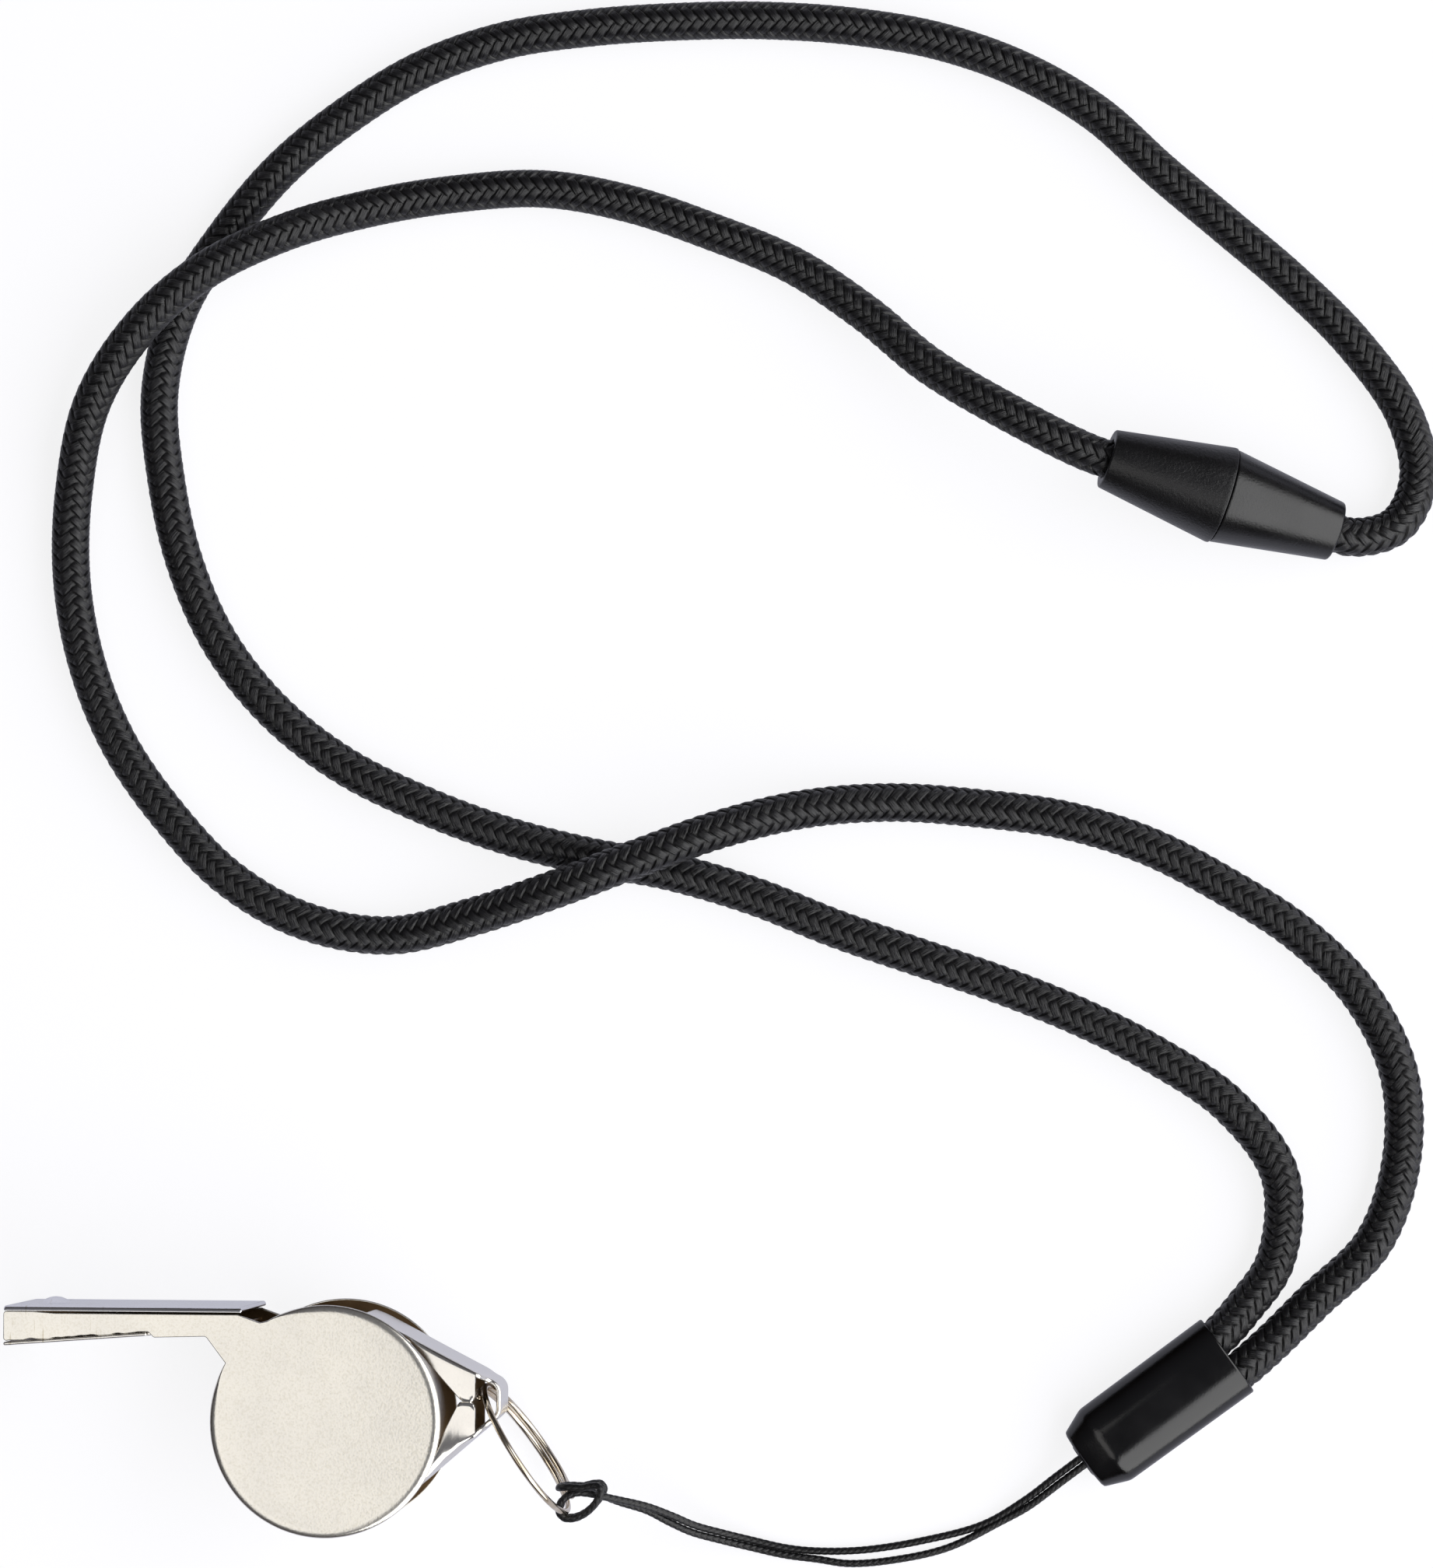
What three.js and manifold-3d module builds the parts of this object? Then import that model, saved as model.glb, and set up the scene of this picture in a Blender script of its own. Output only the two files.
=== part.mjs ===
// Nickel plated pea whistle lying on its side, with a split ring, a thin tether, a cord clamp
// and a braided neck cord closed by a breakaway connector. Millimetres, +Z up, floor at z = 0.
// The barrel axis is the Z axis, the mouthpiece points to -X and the tail lug to +X.
import * as THREE from "three";
import { mergeVertices } from "three/addons/utils/BufferGeometryUtils.js";
import Module from "manifold-3d";

const wasm = await Module();
wasm.setup();

// Whistle body
const SHEET = 0.5;
const SOLDER_GAP = 0.05;
const THICKNESS = 16;
const PLATE_RADIUS = 11;
const PLATE_OVERHANG = 1;
const LIP_ANGLE = 119;
const LIP_LAP = 1.5;
const UNDERSIDE_ANGLE = 150;
const BUMP_DISTANCE = 3.6;
const BUMP_RADIUS = 1.65;
const BUMP_HEIGHT = 0.7;
// Bite bump profile as parts of its radius and height, from its root in the sheet to the crown
const BUMP_PROFILE = [[0, -0.4], [1, -0.4], [1, 0], [0.8, 0.5], [0.45, 0.88], [0, 1]];

// Mouthpiece: distance from the barrel axis towards the mouth, and drop from the top of the barrel
const MOUTH_REACH = 31.4;
const MOUTH_TOP_DROP = 0.65;
const MOUTH_HEIGHT = 2.9;
const ROOF_END = [8.2, 0.8];
const NOTCH_START = [8.6, 0.8];
const NOTCH_END = [6.45, 1.7];
const FLOOR_STEP = [17.3, 2.6];
const UNDERSIDE_MOUTH_END = [16.75, 3.15];
const UNDERSIDE_BARREL_END = [11.7, 3.05];
const WINDWAY_END = [8.6, 2.0];
const FLOOR_SHEET = 0.35;
const FLOOR_STEP_GAP = 0.15;
const BAND_END_DISTANCE = 15.4;
const BAND_UNDERSIDE_LIFT = 0.02;

// Tail lug: leg directions are the outward normals of the two legs
const UPPER_LEG_NORMAL = 62.2;
const LOWER_LEG_NORMAL = -49.5;
const LUG_FOOT_ARC = 11;
const LUG_REACH = 6.5;
const LUG_BEND = 1.2;
const LUG_WIDTH = 10;
const LUG_TIP_WIDTH = 7.4;
const LUG_TAPER_LENGTH = 2.6;
const LUG_TIP_RUN = 1.1;
const SLOT_WIDTH = 1.8;
const FLANGE_SEAM = 0.3;
const FLANGE_SEAM_OFFSET = 0.18;
const FLANGE_STAND_OFF = 1.6;
const FLANGE_SEAM_STAND_OFF = 2.4;
const FLANGE_UPPER_ANGLE = 23.3;
const FLANGE_LOWER_ANGLE = -8;

// Pea
const PEA_DIAMETER = 9;
const PEA_CLEARANCE = 0.3;
const PEA_ANGLE = -70;

// Split ring, a hoop standing on edge with its wire passing upwards through the lug slot
const RING_RADIUS = 7.2;
const RING_WIRE = 0.6;
const RING_TURN_GAP = 0.45;
const RING_TIP_DISTANCE = 1.65;
const RING_LEG_DISTANCE = 1.478;
const RING_HEADING = -54;
const RING_LEAN = 4;
const RING_START = -25;
const RING_SWEEP = 540;
const RING_CROSSOVER = [190, 350];
const RING_STEPS = 66;

// Tether with its cow hitch round the far side of the ring
const TETHER_DIAMETER = 0.75;
const HITCH_HEADING = -12;
// Degrees round the wire, radius and height above the middle of the hitch
const HITCH_TURN = [
  [-90, 1.2, 0.57], [-135, 1.2, 0.6], [-180, 1.2, 0.68], [-225, 1.2, 0.82], [-270, 1.25, 1.05],
  [-310, 1.4, 1.35], [-345, 1.6, 1.62], [-380, 1.8, 1.72], [-410, 2.0, 1.6], [-440, 2.15, 1.1],
  [-458, 2.2, 0.5], [-462, 2.2, 0],
];
const HITCH_LEAD = [[3.4, -1.1, 0.57], [1.4, -1.2, 0.57]];
const TETHER_UPPER = [
  [29.6, -9.9, 5.6], [32.8, -10.9, 3.0], [36.0, -11.8, 1.3], [39.5, -12.6, 0.6], [43.3, -13.4, 0.45],
  [46.8, -13.5, 0.45], [52.7, -13.0, 0.45], [58.5, -11.9, 0.45], [64.4, -10.0, 0.6], [68.6, -7.6, 1.4],
  [71.2, -5.1, 2.4],
];
const TETHER_LOWER = [
  [29.4, -10.6, 4.6], [32.5, -11.7, 2.2], [35.7, -12.7, 0.9], [39.4, -13.5, 0.45], [43.6, -14.2, 0.45],
  [48.0, -14.8, 0.45], [52.7, -14.8, 0.45], [58.5, -13.7, 0.45], [64.4, -11.4, 0.6], [69.1, -8.6, 1.4],
  [71.9, -5.9, 2.4],
];
const TETHER_STRAND_OFFSET = 0.6;

// Cord clamp
const CLAMP_MOUTH = [87.1, 5.78];
const CLAMP_HEADING = 36.2;
const CLAMP_LENGTH = 17.3;
const CLAMP_WIDTH = 8.9;
const CLAMP_HEIGHT = 5.5;
const CLAMP_WALL = 0.6;
const CLAMP_TAPER_LENGTH = 2.4;
const CLAMP_SIDE_TAPER = 1.2;
const CLAMP_FACE_TAPER = 1.0;
const CLAMP_END_WALL = 2.6;
const CAP_SIZE = [3.6, 2.4];
const CAP_LENGTH = 2;
const CAP_FIT = 0.15;
const CORD_DEPTH = 9;
const TETHER_HOLE = [2.6, 1.3];
const TETHER_HOLE_DEPTH = 4;
const KNOT_DIAMETER = 2.6;

// Neck cord: the left cord runs from the clamp to the breakaway socket, over the right cord where they
// cross. Its last stretch is the one that gives when the socket is pulled off the plug.
const CORD_DIAMETER = 3.7;
const CORD_SPACING = 3.9;
const CORD_END_GAP = 0.3;
const LEFT_ROUTE = [
  [91.5, 7.0, 2.2], [95.6, 11.0, 1.9], [101.5, 16.8, 1.9], [104.3, 24.9, 1.9], [104.1, 33.4, 1.9],
  [100.5, 41.0, 1.9], [94.5, 47.1, 1.9], [87.3, 51.8, 1.9], [79.7, 55.8, 1.9], [71.5, 58.4, 1.9],
  [63.0, 59.6, 1.9], [54.4, 60.2, 2.2], [45.8, 59.5, 3.6], [37.4, 57.4, 5.5], [29.2, 54.5, 6.1],
  [21.0, 51.5, 5.4], [12.7, 48.9, 3.4], [4.2, 47.1, 2.0], [-4.4, 48.6, 1.9], [-12.0, 52.9, 1.9],
  [-18.1, 59.2, 1.9], [-23.2, 66.5, 1.9], [-26.5, 74.6, 1.9], [-28.1, 83.3, 1.9], [-27.8, 92.1, 2.5],
  [-25.6, 100.6, 4.6], [-20.7, 107.8, 6.0], [-14.3, 113.4, 6.1], [-6.3, 117.4, 5.3], [2.0, 120.2, 3.0],
  [10.7, 121.8, 1.9], [19.5, 122.2, 1.9], [28.1, 120.6, 1.9], [36.4, 117.7, 1.9],
];
const RELEASE_ROUTE = [
  [36.4, 117.7, 1.9], [44.5, 114.2, 2.1], [51.7, 109.2, 3.1], [58.1, 103.6, 4.8], [65.3, 98.9, 6.6],
];
const RIGHT_ROUTE = [
  [88.6, 10.2, 2.2], [91.9, 15.0, 1.9], [92.4, 23.3, 1.9], [87.6, 30.1, 1.9], [80.5, 35.0, 1.9],
  [72.9, 38.9, 1.9], [65.0, 42.1, 1.9], [56.8, 44.9, 1.9], [48.7, 47.7, 1.9], [40.7, 50.9, 1.9],
  [32.3, 53.4, 1.9], [23.8, 55.0, 1.9], [15.4, 57.2, 1.9], [7.2, 60.3, 1.9], [-0.6, 64.2, 1.9],
  [-7.5, 69.6, 1.9], [-13.0, 76.5, 1.9], [-16.6, 84.5, 1.9], [-18.6, 93.1, 1.9], [-19.3, 101.9, 1.9],
  [-17.3, 110.4, 1.9], [-12.7, 117.8, 1.9], [-7.0, 124.6, 1.9], [-0.2, 130.1, 1.9], [7.3, 134.6, 1.9],
  [15.6, 137.4, 1.9], [24.3, 138.6, 1.9], [33.1, 139.1, 1.9], [41.9, 139.1, 1.9], [50.6, 138.4, 1.9],
  [59.2, 136.8, 1.9], [67.4, 133.8, 1.9], [74.9, 129.3, 1.9], [81.3, 123.4, 1.9], [87.9, 117.7, 1.9],
  [94.4, 112.0, 1.9], [100.5, 105.7, 1.9], [105.3, 98.6, 1.9], [106.6, 92.2, 1.9], [104.4, 87.6, 2.2],
];

// Breakaway connector, lying on the rim of its socket and the cone of its plug
const BREAK_SEAM = [87.1, 90.33, 4.84];
const BREAK_HEADING = -17.1;
const BREAK_TILT = 8.6;
const SOCKET_LENGTH = 12.1;
const PLUG_LENGTH = 11.9;
const BREAK_END_RADIUS = 2.95;
const SOCKET_RIM_RADIUS = 4.85;
const PLUG_RIM_RADIUS = 4.7;
const RIM_LAND = 0.9;
const CORD_BORE_CLEARANCE = 0.15;
const CORD_BORE_DEPTH = 2.2;
const FERRULE_RADIUS = 2.45;
const FERRULE_LENGTH = 2.4;
const FERRULE_BORE_RADIUS = 2.6;
const STEM_RADIUS = 2.3;
const STEM_LENGTH = 5.2;
const STEM_NOSE = 0.3;
const BEAD_HEIGHT = 0.35;
const BEAD_RAMP = 1.2;
const BEAD_LAND = 0.5;
const BEAD_BACK = 0.4;
const STEM_FIT = 0.1;
const SEAM_GAP = 0.1;
const PLUG_FLOOR = 2.5;

// Facets and cutting
const ARC_STEP = 6;
const BEND_STEP = 15;
const ROUND_SIDES = 36;
const BUMP_SIDES = 20;
const CORD_SIDES = 8;
const PEA_FACETS = [20, 14];
const KNOT_FACETS = [12, 8];
const GAP_SAMPLES_PER_STEP = 10;
const GAP_SKIP_DIAMETERS = 3;
const OVERSHOOT = 1;

const RAD = Math.PI / 180;
const UP = new THREE.Vector3(0, 0, 1);
const BAND_RADIUS = PLATE_RADIUS - PLATE_OVERHANG;
const MID_Z = THICKNESS / 2;
const INNER_Z = SHEET + SOLDER_GAP;
const INNER_WIDTH = THICKNESS - 2 * INNER_Z;
const LEG_DISTANCE = BAND_RADIUS + SOLDER_GAP + SHEET / 2;
const LUG_TIP_X = BAND_RADIUS + LUG_REACH;
const TIP_INSIDE_X = LUG_TIP_X - SHEET;
const SLOT_INSIDE_X = TIP_INSIDE_X - SLOT_WIDTH;

// Point of the mouthpiece seen from the side
const mouthPoint = ([distance, drop], lift = 0) => [-distance, PLATE_RADIUS - drop + lift];
const MOUTH_TOP = [MOUTH_REACH, MOUTH_TOP_DROP];
const MOUTH_BOTTOM = [MOUTH_REACH, MOUTH_TOP_DROP + MOUTH_HEIGHT];

const metal = (color, roughness) => new THREE.MeshStandardMaterial({ color, roughness, metalness: 1 });
const plain = (color, roughness) => new THREE.MeshStandardMaterial({ color, roughness, metalness: 0 });
const NICKEL = metal(0xd8d3c6, 0.22);
const STEEL_WIRE = metal(0xb9b2a4, 0.25);
const CORK = plain(0xb98a58, 0.85);
const BRAID = plain(0x1b1b1d, 0.8);
const WAXED = plain(0x161617, 0.5);
const PLASTIC = plain(0x222226, 0.45);
const FERRULE_METAL = metal(0xa8a8a8, 0.35);

const polar = (radius, degrees) => [radius * Math.cos(degrees * RAD), radius * Math.sin(degrees * RAD)];

// Points along an arc about the origin, both ends included
function arc(radius, from, to) {
  const count = Math.max(1, Math.round(Math.abs(to - from) / ARC_STEP));
  return Array.from({ length: count + 1 }, (_, i) => polar(radius, from + ((to - from) * i) / count));
}

// Closed outline raised from z0 by height
function prism(outline, z0, height) {
  const shape = new THREE.Shape(outline.map(([x, y]) => new THREE.Vector2(x, y)));
  const geometry = new THREE.ExtrudeGeometry(shape, { depth: height, bevelEnabled: false });
  return geometry.translate(0, 0, z0);
}

// Outline of a sheet of the given thickness whose middle follows an open path
function sheetOutline(path, thickness) {
  const side = (sign) => path.map(([x, y], i) => {
    const [ax, ay] = path[Math.max(i - 1, 0)];
    const [bx, by] = path[Math.min(i + 1, path.length - 1)];
    const before = new THREE.Vector2(x - ax, y - ay).normalize();
    const after = new THREE.Vector2(bx - x, by - y).normalize();
    const along = before.clone().add(after).normalize();
    const unit = before.lengthSq() > 0 ? before : after;
    const reach = (sign * thickness) / 2 / along.dot(unit);
    return [x - along.y * reach, y + along.x * reach];
  });
  return [...side(1), ...side(-1).reverse()];
}

// Open path with its inner corners rounded by arcs
function rounded(corners, radius) {
  const path = [corners[0]];
  for (let i = 1; i < corners.length - 1; i += 1) {
    const p = new THREE.Vector2(...corners[i]);
    const a = new THREE.Vector2(...corners[i - 1]).sub(p).normalize();
    const b = new THREE.Vector2(...corners[i + 1]).sub(p).normalize();
    const half = Math.acos(a.dot(b)) / 2;
    const centre = a.clone().add(b).normalize().multiplyScalar(radius / Math.sin(half)).add(p);
    const start = a.clone().multiplyScalar(radius / Math.tan(half)).add(p).sub(centre);
    const end = b.clone().multiplyScalar(radius / Math.tan(half)).add(p).sub(centre);
    const turn = Math.atan2(start.cross(end), start.dot(end));
    const count = Math.max(2, Math.round(Math.abs(turn) / RAD / BEND_STEP));
    for (let k = 0; k <= count; k += 1) {
      const q = start.clone().rotateAround(new THREE.Vector2(), (turn * k) / count).add(centre);
      path.push([q.x, q.y]);
    }
  }
  path.push(corners[corners.length - 1]);
  return path;
}

function toSolid(geometry) {
  const bare = geometry.clone();
  bare.deleteAttribute("normal");
  bare.deleteAttribute("uv");
  const merged = mergeVertices(bare, 1e-4);
  const mesh = new wasm.Mesh({
    numProp: 3,
    vertProperties: new Float32Array(merged.attributes.position.array),
    triVerts: new Uint32Array(merged.index.array),
  });
  return new wasm.Manifold(mesh);
}

function toGeometry(solid) {
  const mesh = solid.getMesh();
  const geometry = new THREE.BufferGeometry();
  geometry.setAttribute("position", new THREE.BufferAttribute(mesh.vertProperties, 3));
  geometry.setIndex(new THREE.BufferAttribute(mesh.triVerts, 1));
  const flat = geometry.toNonIndexed();
  flat.computeVertexNormals();
  return flat;
}

const cut = (body, ...tools) => toGeometry(tools.reduce((s, t) => s.subtract(toSolid(t)), toSolid(body)));
const join = (body, ...others) => toGeometry(others.reduce((s, t) => s.add(toSolid(t)), toSolid(body)));

// Curve through hand-set points, stepped evenly from point to point rather than by length
class Route extends THREE.CatmullRomCurve3 {
  getPointAt(u, target) {
    return this.getPoint(u, target);
  }

  getTangentAt(u, target) {
    return this.getTangent(u, target);
  }
}

const vectors = (points) => points.map((p) => new THREE.Vector3(...p));

function roundSection(diameter, sides) {
  return new THREE.Shape(Array.from({ length: sides }, (_, i) => {
    const [x, y] = polar(diameter / 2, ((i + 0.5) * 360) / sides);
    return new THREE.Vector2(x, y);
  }));
}

// Tube with one step from each point of its route to the next
function tube(points, diameter) {
  const extrudePath = new Route(vectors(points));
  const section = roundSection(diameter, CORD_SIDES);
  return new THREE.ExtrudeGeometry(section, { steps: points.length - 1, bevelEnabled: false, extrudePath });
}

// Side plate blank: mouthpiece side, window notch, round cheek and the stepped underside
function sidePlate(z0) {
  const outline = [
    ...[MOUTH_BOTTOM, FLOOR_STEP, UNDERSIDE_MOUTH_END, UNDERSIDE_BARREL_END].map((p) => mouthPoint(p)),
    ...arc(PLATE_RADIUS, UNDERSIDE_ANGLE, 360 + LIP_ANGLE + LIP_LAP),
    ...[NOTCH_END, NOTCH_START, MOUTH_TOP].map((p) => mouthPoint(p)),
  ];
  return prism(outline, z0, SHEET);
}

// Band round the chamber, then up under the mouthpiece where it laps the windway floor
function barrelBand() {
  const [turnDistance, turnDrop] = UNDERSIDE_BARREL_END;
  const path = [
    ...arc(BAND_RADIUS - SHEET / 2, LIP_ANGLE, UNDERSIDE_ANGLE - 360),
    mouthPoint([turnDistance - SHEET / 4, turnDrop], BAND_UNDERSIDE_LIFT - SHEET / 4),
    mouthPoint([BAND_END_DISTANCE, UNDERSIDE_MOUTH_END[1]], BAND_UNDERSIDE_LIFT),
  ];
  return prism(sheetOutline(path, SHEET), INNER_Z, INNER_WIDTH);
}

// Roof lying on the upper edges of both side plates, with the bite bump pressed up in it
function mouthpieceRoof() {
  const lift = SHEET / 2 + SOLDER_GAP;
  const start = new THREE.Vector2(...mouthPoint(MOUTH_TOP, lift));
  const end = new THREE.Vector2(...mouthPoint(ROOF_END, lift));
  const plate = prism(sheetOutline([start.toArray(), end.toArray()], SHEET), 0, THICKNESS);
  const crown = start.clone().lerp(end, BUMP_DISTANCE / start.distanceTo(end));
  const dome = BUMP_PROFILE.map(([r, h]) => new THREE.Vector2(r * BUMP_RADIUS, h * BUMP_HEIGHT));
  return join(plate, new THREE.LatheGeometry(dome, BUMP_SIDES).translate(crown.x, crown.y + SHEET / 2, MID_Z));
}

// Floor lying under the lower edges of both side plates as far as their step, then between them to the window
function windwayFloor() {
  const lift = -FLOOR_SHEET / 2 - SOLDER_GAP;
  const mouth = mouthPoint(MOUTH_BOTTOM, lift);
  const step = mouthPoint(FLOOR_STEP, lift);
  const outer = sheetOutline([mouth, [step[0] - FLOOR_STEP_GAP, step[1]]], FLOOR_SHEET);
  const inner = sheetOutline([mouth, [step[0] - FLOOR_STEP_GAP, step[1]], mouthPoint(WINDWAY_END)], FLOOR_SHEET);
  return join(prism(outer, 0, THICKNESS), prism(inner, INNER_Z, INNER_WIDTH));
}

// Where the middle of the leg with the given outward normal reaches x
const onLeg = (normal, x) => [x, (LEG_DISTANCE - x * Math.cos(normal * RAD)) / Math.sin(normal * RAD)];

// Strap soldered to the band by two feet, with folded flanges that meet at a seam and a ring slot
function tailLug() {
  const tipX = LUG_TIP_X - SHEET / 2;
  const bend = rounded([
    polar(LEG_DISTANCE, UPPER_LEG_NORMAL), onLeg(UPPER_LEG_NORMAL, tipX),
    onLeg(LOWER_LEG_NORMAL, tipX), polar(LEG_DISTANCE, LOWER_LEG_NORMAL),
  ], LUG_BEND);
  const path = [
    ...arc(LEG_DISTANCE, UPPER_LEG_NORMAL + LUG_FOOT_ARC, UPPER_LEG_NORMAL).slice(0, -1), ...bend,
    ...arc(LEG_DISTANCE, LOWER_LEG_NORMAL, LOWER_LEG_NORMAL - LUG_FOOT_ARC).slice(1),
  ];
  const low = MID_Z - LUG_WIDTH / 2;
  const strap = prism(sheetOutline(path, SHEET), low, LUG_WIDTH);
  const flanges = [low, low + LUG_WIDTH - SHEET].flatMap((z) => [
    prism(lugFlange(1, UPPER_LEG_NORMAL, FLANGE_UPPER_ANGLE), z, SHEET),
    prism(lugFlange(-1, LOWER_LEG_NORMAL, FLANGE_LOWER_ANGLE), z, SHEET),
  ]);
  return cut(join(strap, ...flanges), lugTaper(1), lugTaper(-1));
}

// Flange folded in from one leg to the seam; side is 1 for the upper leg and -1 for the lower
function lugFlange(side, legNormal, rootAngle) {
  const root = polar(BAND_RADIUS + FLANGE_STAND_OFF, rootAngle);
  const legs = [UPPER_LEG_NORMAL, LOWER_LEG_NORMAL].map((normal) => onLeg(normal, SLOT_INSIDE_X)[1]);
  const seamY = (legs[0] + legs[1]) / 2 + FLANGE_SEAM_OFFSET + (side * FLANGE_SEAM) / 2;
  const seamX = Math.sqrt((BAND_RADIUS + FLANGE_SEAM_STAND_OFF) ** 2 - seamY ** 2);
  return [
    onLeg(legNormal, root[0]), root, [seamX, seamY], [SLOT_INSIDE_X, seamY], onLeg(legNormal, SLOT_INSIDE_X),
  ];
}

// Wedge that narrows one edge of the strap towards the tip
function lugTaper(side) {
  const endX = LUG_TIP_X - LUG_TIP_RUN;
  const wedge = [
    [endX - LUG_TAPER_LENGTH, (side * LUG_WIDTH) / 2], [endX, (side * LUG_TIP_WIDTH) / 2],
    [LUG_TIP_X + OVERSHOOT, (side * LUG_TIP_WIDTH) / 2], [LUG_TIP_X + OVERSHOOT, side * LUG_WIDTH],
    [endX - LUG_TAPER_LENGTH, side * LUG_WIDTH],
  ];
  return prism(wedge, -PLATE_RADIUS, 2 * PLATE_RADIUS).rotateX(Math.PI / 2).translate(0, 0, MID_Z);
}

function pea() {
  const radius = PEA_DIAMETER / 2;
  const orbit = BAND_RADIUS - SHEET - radius - PEA_CLEARANCE;
  const [x, y] = polar(orbit, PEA_ANGLE);
  return new THREE.SphereGeometry(radius, ...PEA_FACETS).translate(x, y, SHEET + PEA_CLEARANCE + radius);
}

// Point on the ring wire: 0 degrees in the slot, 180 on the far side, the lower arc first
function ringPoint(degrees) {
  const heading = new THREE.Vector3(...polar(1, RING_HEADING), 0);
  const normal = new THREE.Vector3(...polar(1, RING_HEADING + 90), 0);
  const upright = UP.clone().applyAxisAngle(heading, RING_LEAN * RAD);
  const pitch = RING_WIRE + RING_TURN_GAP;
  const layer = THREE.MathUtils.smoothstep(degrees, ...RING_CROSSOVER) - 0.5;
  const [slotX, legY] = onLeg(UPPER_LEG_NORMAL, TIP_INSIDE_X - RING_TIP_DISTANCE);
  return new THREE.Vector3(slotX, legY - RING_LEG_DISTANCE, MID_Z)
    .addScaledVector(heading, RING_RADIUS * (1 - Math.cos(degrees * RAD)))
    .addScaledVector(upright, -RING_RADIUS * Math.sin(degrees * RAD))
    .addScaledVector(normal, layer * pitch);
}

const ringPath = Array.from({ length: RING_STEPS + 1 }, (_, i) => (
  ringPoint(RING_START + (RING_SWEEP * i) / RING_STEPS).toArray()));

// Hitch path round the ring wire, from the upper strand through the bight to the lower strand
function hitchPath() {
  const wire = ringPoint(180);
  const place = ([x, y, z]) => {
    const p = new THREE.Vector2(x, y).rotateAround(new THREE.Vector2(), HITCH_HEADING * RAD);
    return [wire.x + p.x, wire.y + p.y, wire.z + z];
  };
  const half = [...HITCH_LEAD, ...HITCH_TURN.map(([angle, radius, z]) => [...polar(radius, angle), z])];
  const lower = half.slice(0, -1).map(([x, y, z]) => [x, y, -z]).reverse();
  return [...half, ...lower].map(place);
}

const clampAxis = new THREE.Vector3(...polar(1, CLAMP_HEADING), 0);
const clampSide = new THREE.Vector3(...polar(1, CLAMP_HEADING + 90), 0);
const clampMouth = new THREE.Vector3(...CLAMP_MOUTH, CLAMP_HEIGHT / 2);

// Point in the clamp: depth from the mouth towards the cap, and sideways
const inClamp = (depth, aside) => clampMouth.clone()
  .addScaledVector(clampAxis, -depth).addScaledVector(clampSide, aside);

// Flat oval outline across the clamp
function oval(width, height) {
  const radius = height / 2;
  const reach = width / 2 - radius;
  const end = (sign) => Array.from({ length: 180 / BEND_STEP + 1 }, (_, i) => {
    const [x, y] = polar(radius, -90 + i * BEND_STEP);
    return [sign * (reach + x), sign * y];
  });
  return [...end(1), ...end(-1)];
}

// Prism across the clamp between two depths
function clampPrism(outline, fromDepth, toDepth) {
  const basis = new THREE.Matrix4().makeBasis(clampSide, UP, clampAxis);
  const origin = inClamp(toDepth, 0);
  return prism(outline, 0, toDepth - fromDepth).applyMatrix4(basis.setPosition(origin));
}

// Wedge cut from the cap end; across is the direction the wedge faces, along the other one it spans
function clampTaper(across, along, half, taper) {
  const outline = [
    [0, half - taper], [CLAMP_TAPER_LENGTH, half], [CLAMP_TAPER_LENGTH, half + OVERSHOOT],
    [-OVERSHOOT, half + OVERSHOOT], [-OVERSHOOT, half - taper],
  ];
  const basis = new THREE.Matrix4().makeBasis(clampAxis, across, along).setPosition(inClamp(CLAMP_LENGTH, 0));
  return prism(outline, -CLAMP_WIDTH, 2 * CLAMP_WIDTH).applyMatrix4(basis);
}

// Sleeve with a tapered cap end: a wide bore for the cords and a narrow one for the cap
function clampSleeve() {
  const body = clampPrism(oval(CLAMP_WIDTH, CLAMP_HEIGHT), 0, CLAMP_LENGTH);
  const cordBore = oval(CLAMP_WIDTH - 2 * CLAMP_WALL, CLAMP_HEIGHT - 2 * CLAMP_WALL);
  const capBore = oval(...CAP_SIZE.map((size) => size + 2 * CAP_FIT));
  const endWall = CLAMP_LENGTH - CLAMP_END_WALL;
  const down = UP.clone().negate();
  const back = clampSide.clone().negate();
  return cut(
    body,
    clampPrism(cordBore, -OVERSHOOT, endWall),
    clampPrism(capBore, endWall - OVERSHOOT, CLAMP_LENGTH + OVERSHOOT),
    clampTaper(clampSide, UP, CLAMP_WIDTH / 2, CLAMP_SIDE_TAPER),
    clampTaper(back, down, CLAMP_WIDTH / 2, CLAMP_SIDE_TAPER),
    clampTaper(UP, back, CLAMP_HEIGHT / 2, CLAMP_FACE_TAPER),
    clampTaper(down, clampSide, CLAMP_HEIGHT / 2, CLAMP_FACE_TAPER),
  );
}

// Cap pressed into the narrow end, with an oval hole for the two tether strands
function clampEndCap() {
  const body = clampPrism(oval(...CAP_SIZE), CLAMP_LENGTH - CAP_LENGTH, CLAMP_LENGTH);
  const start = CLAMP_LENGTH - CAP_LENGTH - OVERSHOOT;
  return cut(body, clampPrism(oval(...TETHER_HOLE), start, CLAMP_LENGTH + OVERSHOOT));
}

const tetherEnd = (sign) => [
  inClamp(CLAMP_LENGTH - CAP_LENGTH / 2, sign * TETHER_STRAND_OFFSET).toArray(),
  inClamp(CLAMP_LENGTH - TETHER_HOLE_DEPTH, sign * TETHER_STRAND_OFFSET).toArray(),
];

const tetherPath = [
  ...tetherEnd(1).reverse(), ...TETHER_UPPER.slice().reverse(), ...hitchPath(),
  ...TETHER_LOWER, ...tetherEnd(-1),
];

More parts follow.
